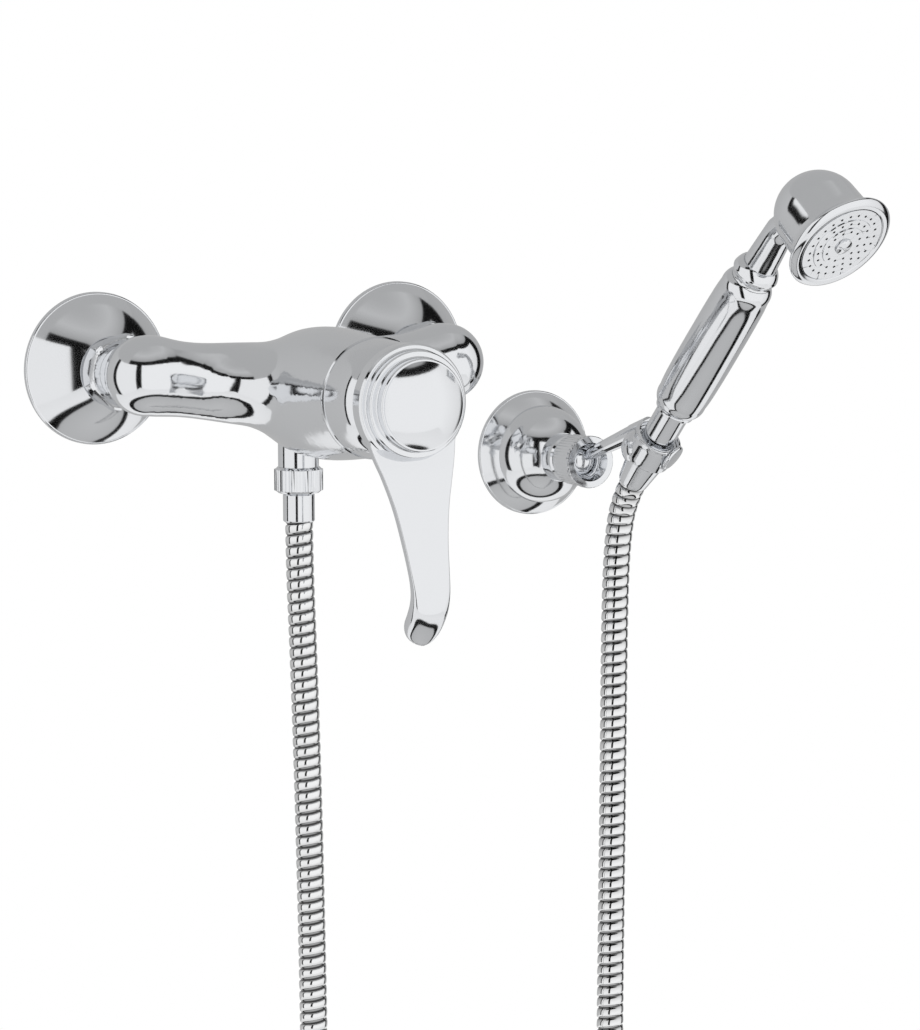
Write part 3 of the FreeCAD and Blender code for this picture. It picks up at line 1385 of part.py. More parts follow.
def bell_solid(inset, start):
    """The bell as a full solid of revolution, set in by a wall and closed at the height start:
    a flared mouth, a slightly tapered side and a hemispherical crown."""
    mouth = float(BELL_MOUTH)
    front, full = float(S.bell_front_radius) - inset, float(S.bell_radius) - inset
    depth = float(S.bell_length) - inset
    root = full + float(S.bell_taper)
    flare = mouth + float(S.bell_flare)
    knee = V(root + (front - root) * 0.34, 0, mouth + (flare - mouth) * 0.42)
    centre = depth - full
    crown = full * math.sqrt(0.5)
    edges = [Part.LineSegment(V(0, 0, start), V(front, 0, start)).toShape()]
    if mouth - start > 1e-6:
        edges.append(Part.LineSegment(V(front, 0, start), V(front, 0, mouth)).toShape())
    edges.append(Part.Arc(V(front, 0, mouth), knee, V(root, 0, flare)).toShape())
    edges.append(Part.LineSegment(V(root, 0, flare), V(full, 0, centre)).toShape())
    edges.append(Part.Arc(V(full, 0, centre), V(crown, 0, centre + crown), V(0, 0, depth)).toShape())
    edges.append(Part.LineSegment(V(0, 0, depth), V(0, 0, start)).toShape())
    return Part.Face(Part.Wire(edges)).revolve(V(0, 0, 0), V(0, 0, 1), 360)


def neck_tube(radius, foot_radius, low):
    """A tube of the upper neck: tapered to its bend, then turned in toward the bell's middle."""
    bend = HOLDER + AXIS * float(S.spray_reach - S.neck_bend)
    aim = RIM - SPRAY * float(S.neck_aim)
    length = float(S.spray_reach - S.neck_bend) - low
    if foot_radius > radius:
        straight = Part.makeCone(foot_radius, radius, length, HOLDER + AXIS * low, AXIS)
    else:
        straight = Part.makeCylinder(radius, length, HOLDER + AXIS * low, AXIS)
    inward = Part.makeCylinder(radius, (aim - bend).Length, bend, aim - bend)
    return straight.fuse([Part.makeSphere(radius, bend), inward])


def spray_head():
    """The head casting: the upper neck and the bell that it runs into."""
    mouth, low, wall = float(BELL_MOUTH), float(COLLAR_TOP), float(S.bell_wall)
    seat = float(GRIP_TOP - S.spigot_length + S.shank_lift)
    start = mouth - wall
    floor = V(0, 0, start)
    outer = bell_solid(0.0, mouth)
    throat = Part.makeCylinder(float(S.bell_throat_radius), float(S.bell_length), floor)
    cavity = bell_solid(wall, start).common(throat)
    ledge = float(S.rose_level + S.rose_thickness + S.gasket_thickness + S.joint_gap)
    gasket_bore = Part.makeCylinder(float(S.rose_radius + S.joint_gap * 2), ledge - start, floor)
    skirt_radius = float(S.bezel_skirt_radius + S.thread_gap)
    skirt_bore = Part.makeCylinder(skirt_radius, float(S.bezel_skirt) + wall, floor)
    for shape in (outer, cavity, gasket_bore, skirt_bore):
        shape.Placement = HEAD
    neck = neck_tube(float(S.upper_neck_end_radius), float(S.upper_neck_radius), low)
    foot = HOLDER + AXIS * seat
    shank = Part.makeCylinder(float(S.spigot_radius - S.thread_gap * 5), low - seat, foot, AXIS)
    bore = neck_tube(float(S.neck_bore_radius), 0.0, seat)
    sleeve_length = float(GRIP_TOP + S.tube_rise + S.joint_gap) - seat
    sleeve = Part.makeCylinder(float(TUBE_SLEEVE), sleeve_length, foot, AXIS)
    solid = outer.fuse(neck).fuse(shank)
    for tool in (cavity, gasket_bore, skirt_bore, bore, sleeve):
        solid = solid.cut(tool)
    keep(feature("head_casting", solid), "handset_head")


def spray_bezel():
    """The thin rounded ring that frames the rose, with a skirt inside the bell's mouth."""
    top, front, skirt = S.bezel_height, S.bezel_front, S.bezel_skirt_radius
    inner, outer = S.rose_radius + S.joint_gap * 2, S.bezel_radius
    skirt_top, face = top + S.bezel_skirt, -front
    keep(turned("bezel", [
        (inner, skirt_top), (inner, face + front * 0.56), (inner + front * 0.375, face + front * 0.125, 70),
        (outer - front * 1.5, face, 8), (outer, front * 0.19, 50), (outer, top - front * 0.31),
        (outer - front * 0.31, top, 90), (skirt, top), (skirt, skirt_top)]), "spray_bezel", HEAD)


def rose():
    """The stepped rose with three rings of spray holes."""
    step, level = S.rose_step, S.rose_level
    middle, low = level - step, level - step * 2
    back = level + S.rose_thickness
    slope = step * 0.4
    rings = (S.rose_ring_one, S.rose_ring_two, S.rose_ring_three)
    between_one, between_two = (rings[0] + rings[1]) / 2, (rings[1] + rings[2]) / 2
    hole = S.rose_screw_shank + S.joint_gap
    body = turned("rose_plate", [
        (hole, low), (between_one - slope, low), (between_one, middle), (between_two - slope, middle),
        (between_two, level), (S.rose_radius, level), (S.rose_radius, back), (hole, back)])
    count, more = int(round(float(S.rose_holes))), int(round(float(S.rose_holes_more)))
    for number, radius in enumerate(rings):
        sketch = body.newObject("Sketcher::SketchObject", "rose_hole_%d" % number)
        sketch.AttachmentSupport = (plane_of(body, "XY_Plane"), [""])
        sketch.MapMode = "FlatFace"
        sketch.addGeometry(Part.Circle(vec(radius, 0, 0), V(0, 0, 1), float(S.rose_hole_radius)), False)
        sketch.addConstraint(Sketcher.Constraint("Radius", 0, float(S.rose_hole_radius)))
        sketch.addConstraint(Sketcher.Constraint("DistanceX", -1, 1, 0, 3, float(radius)))
        sketch.addConstraint(Sketcher.Constraint("PointOnObject", 0, 3, -1))
        sketch.setExpression("Constraints[0]", S.rose_hole_radius.text)
        sketch.setExpression("Constraints[1]", radius.text)
        pocket = body.newObject("PartDesign::Pocket", "rose_pocket_%d" % number)
        pocket.Profile = sketch
        pocket.Type = "ThroughAll"
        pocket.Midplane = True
        pattern = body.newObject("PartDesign::PolarPattern", "rose_ring_%d" % number)
        pattern.Originals = [pocket]
        pattern.Axis = (sketch, ["N_Axis"])
        pattern.Angle = 360.0
        pattern.Occurrences = count + more * number
        body.Tip = pattern
    keep(body, "spray_rose", HEAD)


def rose_screw():
    """The slotted screw in the middle of the rose."""
    radius, shank = S.rose_screw_radius, S.rose_screw_shank
    head, crown = S.rose_screw_head, S.rose_screw_crown
    under = S.rose_level - S.rose_step * 2
    end, seat = under + S.rose_screw_length, under - S.thread_gap
    rim = seat - head
    body = turned("rose_fastener", [
        (0, end), (shank, end), (shank, seat), (radius, seat), (radius, rim),
        (0, rim - crown, -cap_turn(radius, crown))])
    slot = bound("Part::Box", "rose_slot", {"Length": radius * 2, "Width": crown, "Height": crown * 1.2})
    slot.Placement = shifted(-radius, -crown / 2, rim - crown * 1.4)
    keep(cut("rose_screw_cut", body, slot), "spray_screw", HEAD)


def spray_inside():
    """The gasket behind the rose and the spreader plate that the screw pulls on."""
    low = S.rose_level + S.rose_thickness + S.thread_gap
    high = low + S.gasket_thickness
    outer = S.rose_radius - S.joint_gap
    keep(turned("gasket", tube_outline(outer - S.gasket_width, outer, low, high)), "spray_gasket", HEAD)
    foot = high + S.thread_gap
    back = foot + S.spreader_thickness
    shank, rim = S.rose_screw_shank + S.thread_gap / 2, S.bell_throat_radius - S.joint_gap * 3
    boss, boss_top = S.spreader_boss_radius, back + S.spreader_boss
    plate = turned("spreader", [
        (shank, low), (boss, low), (boss, foot), (rim, foot), (rim, back), (boss, back), (boss, boss_top),
        (shank, boss_top)])
    count, ring = int(round(float(S.spreader_holes))), float(S.rose_ring_two)
    holes = []
    for i in range(count):
        angle = 2 * math.pi * i / count
        place = shifted(ring * math.cos(angle), ring * math.sin(angle), foot)
        holes.append(cylinder("spreader_hole_%d" % i, S.rose_hole_radius * 3, S.spreader_thickness, place))
    keep(cut("spreader_cut", plate, fuse("spreader_holes", holes)), "spray_spreader", HEAD)


for side_name, side_sign in (("left", -1), ("right", 1)):
    side_x = S.inlet_spacing / 2 * side_sign
    wall_union(side_name, side_x)
    wall_cover(side_name, side_x)
    union_nut(side_name, side_x)
    inlet_washer(side_name, side_x)
    check_valve(side_name, side_x)
mixer_body()
cartridge()
clamp_nut()
shroud()
lever()
lever_button()
lever_screw()
outlet()
hose_foot()
hose()
bracket_flange()
bracket_plate()
bracket_fixings()
bracket_socket()
ball_seat()
ring_nut()
swivel_ball()
holder_arm()
holder()
holder_screw()
cone_nut()
hose_head()
spray_inlet()
regulator()
grip()
water_tube()
spray_collar()
spray_head()
spray_bezel()
rose()
rose_screw()
spray_inside()
doc.recompute()

faults = [o.Name for o in doc.Objects if "Invalid" in o.State or "Error" in o.State]
for part in PARTS:
    if part.Shape.isNull() or not part.Shape.isValid():
        faults.append(part.Label)
if faults:
    raise RuntimeError("failed: " + ", ".join(faults))
os.makedirs("parts", exist_ok=True)
for part in PARTS:
    part.Shape.exportStep("parts/%s.step" % part.Label)
print(len(PARTS), "parts written")
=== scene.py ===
import json
import math

import bpy
from bpy.props import FloatProperty, FloatVectorProperty, PointerProperty
from mathutils import Matrix, Vector

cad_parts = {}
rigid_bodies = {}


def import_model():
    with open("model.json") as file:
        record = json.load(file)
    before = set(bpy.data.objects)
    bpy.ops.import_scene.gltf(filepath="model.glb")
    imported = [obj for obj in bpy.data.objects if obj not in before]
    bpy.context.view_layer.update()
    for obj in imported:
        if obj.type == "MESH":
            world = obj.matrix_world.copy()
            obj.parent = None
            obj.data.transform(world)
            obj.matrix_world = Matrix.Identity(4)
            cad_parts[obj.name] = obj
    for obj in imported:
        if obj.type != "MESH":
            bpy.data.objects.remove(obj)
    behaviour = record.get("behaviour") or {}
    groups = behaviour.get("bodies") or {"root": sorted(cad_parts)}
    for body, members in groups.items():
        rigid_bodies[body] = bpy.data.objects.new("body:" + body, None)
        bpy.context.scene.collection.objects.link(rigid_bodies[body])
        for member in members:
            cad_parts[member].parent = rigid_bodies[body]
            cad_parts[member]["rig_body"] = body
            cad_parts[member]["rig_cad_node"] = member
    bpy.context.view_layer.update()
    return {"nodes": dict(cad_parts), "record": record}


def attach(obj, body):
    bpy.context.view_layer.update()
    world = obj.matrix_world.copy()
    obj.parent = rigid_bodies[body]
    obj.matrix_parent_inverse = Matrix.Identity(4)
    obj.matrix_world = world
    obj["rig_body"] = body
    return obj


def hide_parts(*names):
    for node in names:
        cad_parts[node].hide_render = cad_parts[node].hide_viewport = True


bl_info = {
    "name": "Shower mixer",
    "version": (1, 0, 0),
    "blender": (4, 5, 0),
    "location": "View3D > Sidebar > Shower mixer",
    "description": "Dresses the frame of a wall-mounted shower mixer with its hose and hand spray",
    "category": "Object",
}

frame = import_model()

# The hose's route in metres, from the mixer's outlet down, across and up to the hand spray
HOSE_ROUTE = [
    (0.0, -0.0500, -0.0560),
    (0.0, -0.0500, -0.0840),
    (0.0016, -0.0500, -0.1240),
    (0.0034, -0.0503, -0.1900),
    (0.0050, -0.0506, -0.2900),
    (0.0054, -0.0510, -0.3900),
    (0.0049, -0.0511, -0.4700),
    (0.0046, -0.0510, -0.5350),
    (0.0240, -0.0528, -0.5680),
    (0.0575, -0.0560, -0.5874),
    (0.0962, -0.0596, -0.5874),
    (0.1297, -0.0628, -0.5680),
    (0.1491, -0.0646, -0.5350),
    (0.1493, -0.0650, -0.4700),
    (0.1497, -0.0656, -0.3900),
    (0.1502, -0.0664, -0.2900),
    (0.1507, -0.0680, -0.1860),
    (0.1509, -0.0688, -0.1180),
    (0.15115, -0.0708, -0.0823),
    (0.15195, -0.07651, -0.06123),
    (0.15384, -0.08996, -0.04535),
]

# Each rib of the hose: places along its pitch, as shares, and depths under the crown in millimetres
RIB_PROFILE = ((0.0, 0.80), (0.05, 0.36), (0.13, 0.12), (0.26, 0.0), (0.46, 0.02), (0.66, 0.12), (0.82, 0.28),
               (0.92, 0.80))
HOSE_SIDES = 24

# Lines that the turned pieces are turned round: a point and a direction each
INLET_LEFT = ((-0.075, 0.0, 0.0), (0.0, -1.0, 0.0))
INLET_RIGHT = ((0.075, 0.0, 0.0), (0.0, -1.0, 0.0))
BARREL = ((0.0, 0.0, -0.0074), (0.0, -1.0, 0.0))
OUTLET = ((0.0, -0.05, 0.0), (0.0, 0.0, -1.0))
BRACKET = ((0.1471, 0.0, -0.0486), (0.0, -1.0, 0.0))
ROD = ((0.1471, -0.042, -0.0486), (0.13027, -0.92695, 0.35184))
SPRAY_HANDLE = ((0.1545736, -0.0951774, -0.0392), (0.09057, -0.64444, 0.75927))
SPRAY_FACE = ((0.17192242, -0.21862072, 0.05738177), (-0.10723, 0.76301, 0.63742))

# The turned pieces that show, with their lines
TURNED = {
    "escutcheon_left": INLET_LEFT, "escutcheon_right": INLET_RIGHT,
    "dome_shroud": BARREL, "lever_button": BARREL,
    "outlet_nipple": OUTLET, "hose_ferrule": OUTLET,
    "bracket_flange": BRACKET, "bracket_socket": BRACKET,
    "swivel_ball": ROD, "holder_arm": ROD,
    "conical_nut": SPRAY_HANDLE, "handset_inlet": SPRAY_HANDLE, "handset_grip": SPRAY_HANDLE,
    "handset_collar": SPRAY_HANDLE, "spray_bezel": SPRAY_FACE,
}

# The other pieces that show, with the angle in degrees under which their faces are smoothed together
SKINS = {
    "union_nut_left": 20, "union_nut_right": 20, "mixer_body": 40, "hose_nut": 25,
    "bracket_ring_nut": 25, "holder": 35, "holder_screw": 35, "handset_head": 35,
    "spray_rose": 0, "spray_screw": 30,
}

# The lever's disc as radii and heights in millimetres along the barrel's line
LEVER_DISC = (
    (23.1, 151.0), (24.8, 151.0), (25.3, 151.5), (25.3, 157.0), (24.5, 158.0), (23.1, 158.0), (22.6, 158.5),
    (22.6, 161.5), (22.1, 162.0), (20.1, 162.0), (19.6, 162.5), (19.6, 166.1), (19.1, 166.6),
)
# The web inside the disc, in millimetres: the height of its front, its wall, and the radius of the mouth
# over it
LEVER_WEB = 156.6
LEVER_WALL = 2.2
LEVER_MOUTH = 17.6
# The softened edges of the disc: their width in metres, their steps, and the least angle that is softened
EDGE_WIDTH = 0.00012
EDGE_STEPS = 2
EDGE_ANGLE = 20.0
# The blade's stations in millimetres: drop below the barrel's line, half width, depth of the front face
# behind the leaning line, and thickness; then the section's power, from 0 for square corners to 1 for
# an ellipse
BLADE_STATIONS = (
    (14.0, 20.2, 0.0, 3.9, 0.16), (17.3, 20.0, 0.0, 4.0, 0.16), (23.5, 18.4, -0.7, 4.0, 0.17),
    (30.3, 16.2, -1.4, 4.0, 0.18), (43.3, 12.7, -1.5, 4.0, 0.20), (57.3, 10.4, -1.4, 4.0, 0.23),
    (70.3, 9.1, -1.65, 4.1, 0.30), (77.0, 8.7, -1.6, 5.3, 0.42), (82.0, 8.6, -0.7, 7.4, 0.56),
    (86.5, 8.55, 0.9, 10.4, 0.68), (91.0, 8.3, 3.7, 13.0, 0.78), (94.5, 7.6, 6.6, 12.2, 0.84),
    (97.3, 6.2, 9.3, 9.7, 0.88), (99.3, 4.2, 11.4, 6.4, 0.9), (100.4, 2.1, 12.9, 3.2, 0.9),
    (100.75, 0.7, 13.8, 1.2, 0.9),
)
# The leaning line: its height in millimetres down to the root's drop, and how far it comes forward below that
BLADE_LEVEL = 157.6
BLADE_ROOT = 17.3
BLADE_SLOPE = 0.2568
# The blade's sections, how they crowd toward its tip, and the corners of each
BLADE_STEPS = 72
BLADE_CROWDING = 1.35
BLADE_SIDES = 56

# Brass pieces whose plated ends show
PLATED = ("eccentric_union_left", "eccentric_union_right")

# Steps of a full turn, and the angles in degrees under which faces are smoothed together
TURNED_STEPS = 128
TURNED_ANGLE = 30.0
LEVER_ANGLE = 50.0
HOSE_ANGLE = 50.0
# How much large faces lead in smoothing
LEAD = 60
# Reaches in metres within which corners are one, or stand on the axis; and half a seam's width in degrees
MERGE_REACH = 1e-6
SPIN_REACH = 2e-6
HOSE_REACH = 2e-5
AXIS_REACH = 1e-5
SEAM_WIDTH = 0.15
# The depth in metres at which the painted shade in a groove of the hose is at its darkest
GROOVE_SHADE_DEPTH = 0.00075

# The lamps: name, place, size in metres and power in watts; and the place that they face
LAMPS = (
    ("key_lamp", (-1.1, -1.6, 1.3), 1.4, 18.0),
    ("side_lamp", (1.4, -1.0, 0.7), 1.2, 9.0),
    ("top_lamp", (0.1, -0.4, 1.8), 1.6, 10.0),
)
LAMP_AIM = (0.07, -0.1, -0.05)
SENSOR_WIDTH = 36.0
NEAR_CLIP = 0.05

# The floor's size and middle, its tone to the camera, and the share of the shadow that it keeps there
FLOOR_SIZE = 1.6
FLOOR_MIDDLE = (0.05, -0.1)
FLOOR_WHITE = 1.14
SHADOW_SHARE = 0.2
# What the metal mirrors: tones round the object, by degrees from straight before it toward +X
WINDOWS = (
    (-180.0, 0.50), (-125.0, 0.58), (-124.0, 0.005), (-113.0, 0.005), (-112.0, 0.95),
    (-50.0, 0.95), (-49.0, 0.005), (-34.0, 0.005), (-33.0, 1.0), (50.0, 1.0),
    (84.0, 0.85), (85.0, 0.005), (104.0, 0.005), (105.0, 0.45), (180.0, 0.50),
)
# And tones above the windows, by height on a ball round the object
CEILING = ((0.56, 0.005), (0.70, 0.005), (0.71, 0.40), (0.88, 0.58), (1.0, 0.48))
# The part of a full turn over which the ceiling has these tones: its middle and its reach to each side
CEILING_MIDDLE = 0.535
CEILING_REACH = 0.254
# And tones of the floor, by distance from its middle
FLOOR_RINGS = ((0.0, 0.60), (0.36, 0.52), (0.37, 0.005), (0.47, 0.005), (0.48, 0.95), (1.2, 0.85))


class StudioSettings(bpy.types.PropertyGroup):
    """The camera, the light tent and the floor."""

    camera_place: FloatVectorProperty(
        name="Camera place", description="Where the camera stands", size=3,
        default=(-0.787, -1.6315, 0.139), subtype="TRANSLATION", unit="LENGTH")
    camera_turn: FloatVectorProperty(
        name="Camera turn", description="Pitch above the horizon, roll, and turn from +Y toward +X", size=3,
        default=(math.radians(-6.59), math.radians(-0.22), math.radians(28.76)), subtype="EULER")
    lens: FloatProperty(
        name="Lens", description="Focal length of the camera in millimetres", default=140.84, min=20.0)
    floor_level: FloatProperty(
        name="Floor level", description="Height of the floor", default=-0.602, unit="LENGTH")
    floor_colour: FloatVectorProperty(
        name="Floor colour", description="Colour of the floor and the backdrop", size=3,
        default=(0.93, 0.93, 0.93), subtype="COLOR", min=0.0, max=1.0)
    panel_strength: FloatProperty(
        name="Panel strength", description="How bright the tent's panels are in reflections",
        default=1.0, min=0.0)
    ambient: FloatProperty(
        name="Ambient", description="Even light on the object from all round", default=0.55, min=0.0)


class FinishSettings(bpy.types.PropertyGroup):
    """Colours of the finishes."""

    chrome: FloatVectorProperty(
        name="Chrome", description="Colour of the polished chrome", size=3,
        default=(0.90, 0.905, 0.91), subtype="COLOR", min=0.0, max=1.0)
    brass: FloatVectorProperty(
        name="Brass", description="Colour of the bare brass", size=3,
        default=(0.72, 0.58, 0.33), subtype="COLOR", min=0.0, max=1.0)
    ceramic: FloatVectorProperty(
        name="Ceramic", description="Colour of the sealing discs", size=3,
        default=(0.93, 0.93, 0.90), subtype="COLOR", min=0.0, max=1.0)
    rubber: FloatVectorProperty(
        name="Rubber", description="Colour of the washers", size=3,
        default=(0.03, 0.03, 0.03), subtype="COLOR", min=0.0, max=1.0)
    grey_plastic: FloatVectorProperty(
        name="Grey plastic", description="Colour of the cartridge and the plugs", size=3,
        default=(0.45, 0.46, 0.48), subtype="COLOR", min=0.0, max=1.0)
    white_plastic: FloatVectorProperty(
        name="White plastic", description="Colour of the seat, collar and regulator", size=3,
        default=(0.88, 0.88, 0.86), subtype="COLOR", min=0.0, max=1.0)
    zinc: FloatVectorProperty(
        name="Zinc", description="Colour of the plated steel", size=3,
        default=(0.62, 0.63, 0.64), subtype="COLOR", min=0.0, max=1.0)


class HoseSettings(bpy.types.PropertyGroup):
    """Sizes of the ribbed hose."""

    radius: FloatProperty(
        name="Radius", description="Radius over the ribs", default=0.0062, unit="LENGTH", precision=4)
    pitch: FloatProperty(
        name="Pitch", description="Distance from one rib to the next",
        default=0.0050, unit="LENGTH", precision=4)


# Helpers

def select_only(piece):
    bpy.ops.object.select_all(action="DESELECT")
    bpy.context.view_layer.objects.active = piece
    piece.select_set(True)


def mesh_piece(name, corners, edges, faces):
    mesh = bpy.data.meshes.new(name)
    mesh.from_pydata([tuple(corner) for corner in corners], edges, faces)
    piece = bpy.data.objects.new(name, mesh)
    bpy.context.collection.objects.link(piece)
    return piece


def recalculated(piece):
    """Merges doubled corners and points every face outwards."""
    select_only(piece)
    bpy.ops.object.mode_set(mode="EDIT")
    bpy.ops.mesh.select_all(action="SELECT")
    bpy.ops.mesh.remove_doubles(threshold=MERGE_REACH)
    bpy.ops.mesh.normals_make_consistent(inside=False)
    bpy.ops.object.mode_set(mode="OBJECT")


def smoothed(piece, angle):
    """Smooths faces that meet under an angle, large faces leading; an angle of 0 leaves them flat."""
    select_only(piece)
    if not angle:
        bpy.ops.object.shade_flat()
        return
    bpy.ops.object.shade_smooth_by_angle(angle=math.radians(angle))
    even = piece.modifiers.new("even_normals", "WEIGHTED_NORMAL")
    even.keep_sharp = True
    even.weight = LEAD
    bpy.ops.object.modifier_apply(modifier=even.name)


def merged_copy(node, angle):
    """A merged copy of a CAD node, smoothed under an angle."""
    select_only(frame["nodes"][node])
    bpy.ops.object.duplicate(linked=False)
    piece = bpy.context.object
    piece.name = node + "_skin"
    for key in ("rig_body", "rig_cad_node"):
        if key in piece:
            del piece[key]
    piece.parent = None
    bpy.ops.object.mode_set(mode="EDIT")
    bpy.ops.mesh.select_all(action="SELECT")
    bpy.ops.mesh.remove_doubles(threshold=MERGE_REACH)
    bpy.ops.object.mode_set(mode="OBJECT")
    smoothed(piece, angle)
    return piece


def section_of(node, origin, axis, side, other):
    """The outline of a turned node at its seam: corners as (radius, height), and their edges."""
    mesh = frame["nodes"][node].data
    corners = {}
    counts = {}
    for vertex in mesh.vertices:
        place = vertex.co - origin
        across, along = place.dot(side), place.dot(other)
        radius = math.hypot(across, along)
        turn = round(math.degrees(math.atan2(along, across)) % 360.0, 1) if radius > AXIS_REACH else None
        corners[vertex.index] = (turn, round(radius, 7), round(place.dot(axis), 7))
        if turn is not None:
            counts[turn] = counts.get(turn, 0) + 1
    seam = max(counts, key=counts.get)
    edges = set()
    for edge in mesh.edges:
        ends = [corners[index] for index in edge.vertices]
        if all(turn is None or abs(turn - seam) < SEAM_WIDTH for turn, _, _ in ends):
            pair = tuple(sorted((0.0 if turn is None else radius, height) for turn, radius, height in ends))
            if pair[0] != pair[1]:
                edges.add(pair)
    return closed_outline(edges)


def closed_outline(edges):
    """Joins an outline's loose ends over the flat faces, which have no seam."""
    uses = {}
    for pair in edges:
        for corner in pair:
            uses[corner] = uses.get(corner, 0) + 1
    loose = sorted((height, radius) for (radius, height), count in uses.items()
                   if count == 1 and radius > 0.0)
    levels = {}
    for height, radius in loose:
        levels.setdefault(round(height, 6), []).append((radius, height))
    for ends in levels.values():
        if len(ends) % 2:
            ends.insert(0, (0.0, ends[0][1]))
        for first, second in zip(ends[::2], ends[1::2]):
            edges.add((first, second))
    corners = sorted({corner for pair in edges for corner in pair})
    index = {corner: i for i, corner in enumerate(corners)}
    return corners, [(index[first], index[second]) for first, second in edges]


def spun(name, corners, edges, line, steps):
    """Turns an outline, as radii and heights, round a line."""
    origin, axis, side, _ = directions(line)
    places = [origin + side * radius + axis * height for radius, height in corners]
    piece = mesh_piece(name, places, edges, [])
    select_only(piece)
    bpy.ops.object.mode_set(mode="EDIT")
    bpy.ops.mesh.select_all(action="SELECT")
    bpy.ops.mesh.spin(steps=steps, angle=2.0 * math.pi, center=origin, axis=axis)
    bpy.ops.mesh.select_all(action="SELECT")
    bpy.ops.mesh.remove_doubles(threshold=SPIN_REACH)
    bpy.ops.object.mode_set(mode="OBJECT")
    recalculated(piece)
    return piece


def directions(line):
    """A line's point and direction, and two directions across it."""
    origin, axis = Vector(line[0]), Vector(line[1]).normalized()
    side = axis.orthogonal().normalized()
    return origin, axis, side, axis.cross(side)


def turned_copy(node, line):
    """A finely turned copy of a round CAD node."""
    origin, axis, side, other = directions(line)
    corners, edges = section_of(node, origin, axis, side, other)
    piece = spun(node + "_skin", corners, edges, line, TURNED_STEPS)
    select_only(piece)
    bpy.ops.object.shade_smooth_by_angle(angle=math.radians(TURNED_ANGLE))
    return piece


def between(stations, drop, column):
    """A value of the blade at a drop, on a smooth line through its stations."""
    last = len(stations) - 1
    i = max(j for j in range(last) if stations[j][0] <= drop)
    near = [stations[min(max(i + step, 0), last)] for step in (-1, 0, 1, 2)]
    width = near[2][0] - near[1][0]
    share = (drop - near[1][0]) / width
    slopes = []
    for a, b in ((near[0], near[2]), (near[1], near[3])):
        slopes.append((b[column] - a[column]) / (b[0] - a[0]) * width)
    low, high = near[1][column], near[2][column]
    return (low * (1 + 2 * share) * (1 - share) ** 2 + slopes[0] * share * (1 - share) ** 2
            + high * share ** 2 * (3 - 2 * share) + slopes[1] * share ** 2 * (share - 1))


def blade_place(drop):
    """The middle, half width and half thickness of the blade's section at a drop, in metres."""
    half, behind, thick = (between(BLADE_STATIONS, drop, column) for column in (1, 2, 3))
    front = BLADE_LEVEL + BLADE_SLOPE * max(drop - BLADE_ROOT, 0.0) - behind
    middle = BARREL[0][2] - drop / 1000.0
    return Vector((0.0, -(front - thick / 2) / 1000.0, middle)), half / 1000.0, thick / 2000.0


def blade_section(drop):
    """The corners of the blade's section at a drop."""
    middle, half, thick = blade_place(drop)
    power = between(BLADE_STATIONS, drop, 4)
    corners = []
    for i in range(BLADE_SIDES):
        angle = 2.0 * math.pi * (i + 0.5) / BLADE_SIDES
        across, deep = math.cos(angle), math.sin(angle)
        corners.append(middle + Vector((half * math.copysign(abs(across) ** power, across),
                                        thick * math.copysign(abs(deep) ** power, deep), 0.0)))
    return corners


def lever_blade():
    """The blade: its section drawn out along its stations, flat at the disc and round at the tip."""
    first, last = BLADE_STATIONS[0][0], BLADE_STATIONS[-1][0]
    corners = []
    for step in range(BLADE_STEPS + 1):
        drop = first + (last - first) * (1.0 - (1.0 - step / BLADE_STEPS) ** BLADE_CROWDING)
        corners += blade_section(drop)
    sides = range(BLADE_SIDES)
    faces = []
    for row in range(0, BLADE_STEPS * BLADE_SIDES, BLADE_SIDES):
        for a, b in zip(sides, (*sides[1:], 0)):
            faces.append((row + a, row + b, row + BLADE_SIDES + b, row + BLADE_SIDES + a))
    faces += [tuple(sides), tuple(BLADE_STEPS * BLADE_SIDES + a for a in sides)]
    blade = mesh_piece("lever_blade", corners, [], faces)
    recalculated(blade)
    return blade


def lever_skin():
    """The lever: a stepped disc with softened edges, its web, and the blade."""
    outline = LEVER_DISC + (
        (LEVER_MOUTH, LEVER_DISC[-1][1]), (LEVER_MOUTH, LEVER_WEB), (0.0, LEVER_WEB),
        (0.0, LEVER_WEB - LEVER_WALL), (LEVER_DISC[0][0], LEVER_WEB - LEVER_WALL))
    edges = [(i, (i + 1) % len(outline)) for i in range(len(outline)) if outline[i][0] or outline[i + 1][0]]
    outline = [(radius / 1000.0, height / 1000.0) for radius, height in outline]
    disc = spun("lever_skin", outline, edges, BARREL, TURNED_STEPS)
    soften = disc.modifiers.new("soften", "BEVEL")
    soften.width = EDGE_WIDTH
    soften.segments = EDGE_STEPS
    soften.limit_method = "ANGLE"
    soften.angle_limit = math.radians(EDGE_ANGLE)
    select_only(disc)
    bpy.ops.object.modifier_apply(modifier=soften.name)
    blade = lever_blade()
    select_only(disc)
    blade.select_set(True)
    bpy.ops.object.join()
    smoothed(disc, LEVER_ANGLE)
    return disc


def body_of(node):
    return frame["nodes"][node]["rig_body"]


def slot_of(node):
    return [part["material_slot"] for part in frame["record"]["subparts"] if part["node"] == node][0]


def give(piece, material):
    piece.data.materials.clear()
    piece.data.materials.append(material)


# Materials

def new_material(name):
    material = bpy.data.materials.new(name)
    material.use_nodes = True
    tree = material.node_tree
    tree.nodes.clear()
    return material, tree


def add_node(tree, kind, place, **values):
    made = tree.nodes.new(kind)
    made.location = place
    for key, value in values.items():
        setattr(made, key, value)
    return made


def reckon(tree, operation, *values):
    """A Math node over sockets and numbers; gives its output."""
    made = add_node(tree, "ShaderNodeMath", (-600, 0), operation=operation)
    for socket, value in zip(made.inputs, values):
        if isinstance(value, (int, float)):
            socket.default_value = value
        else:
            tree.links.new(value, socket)
    return made.outputs[0]


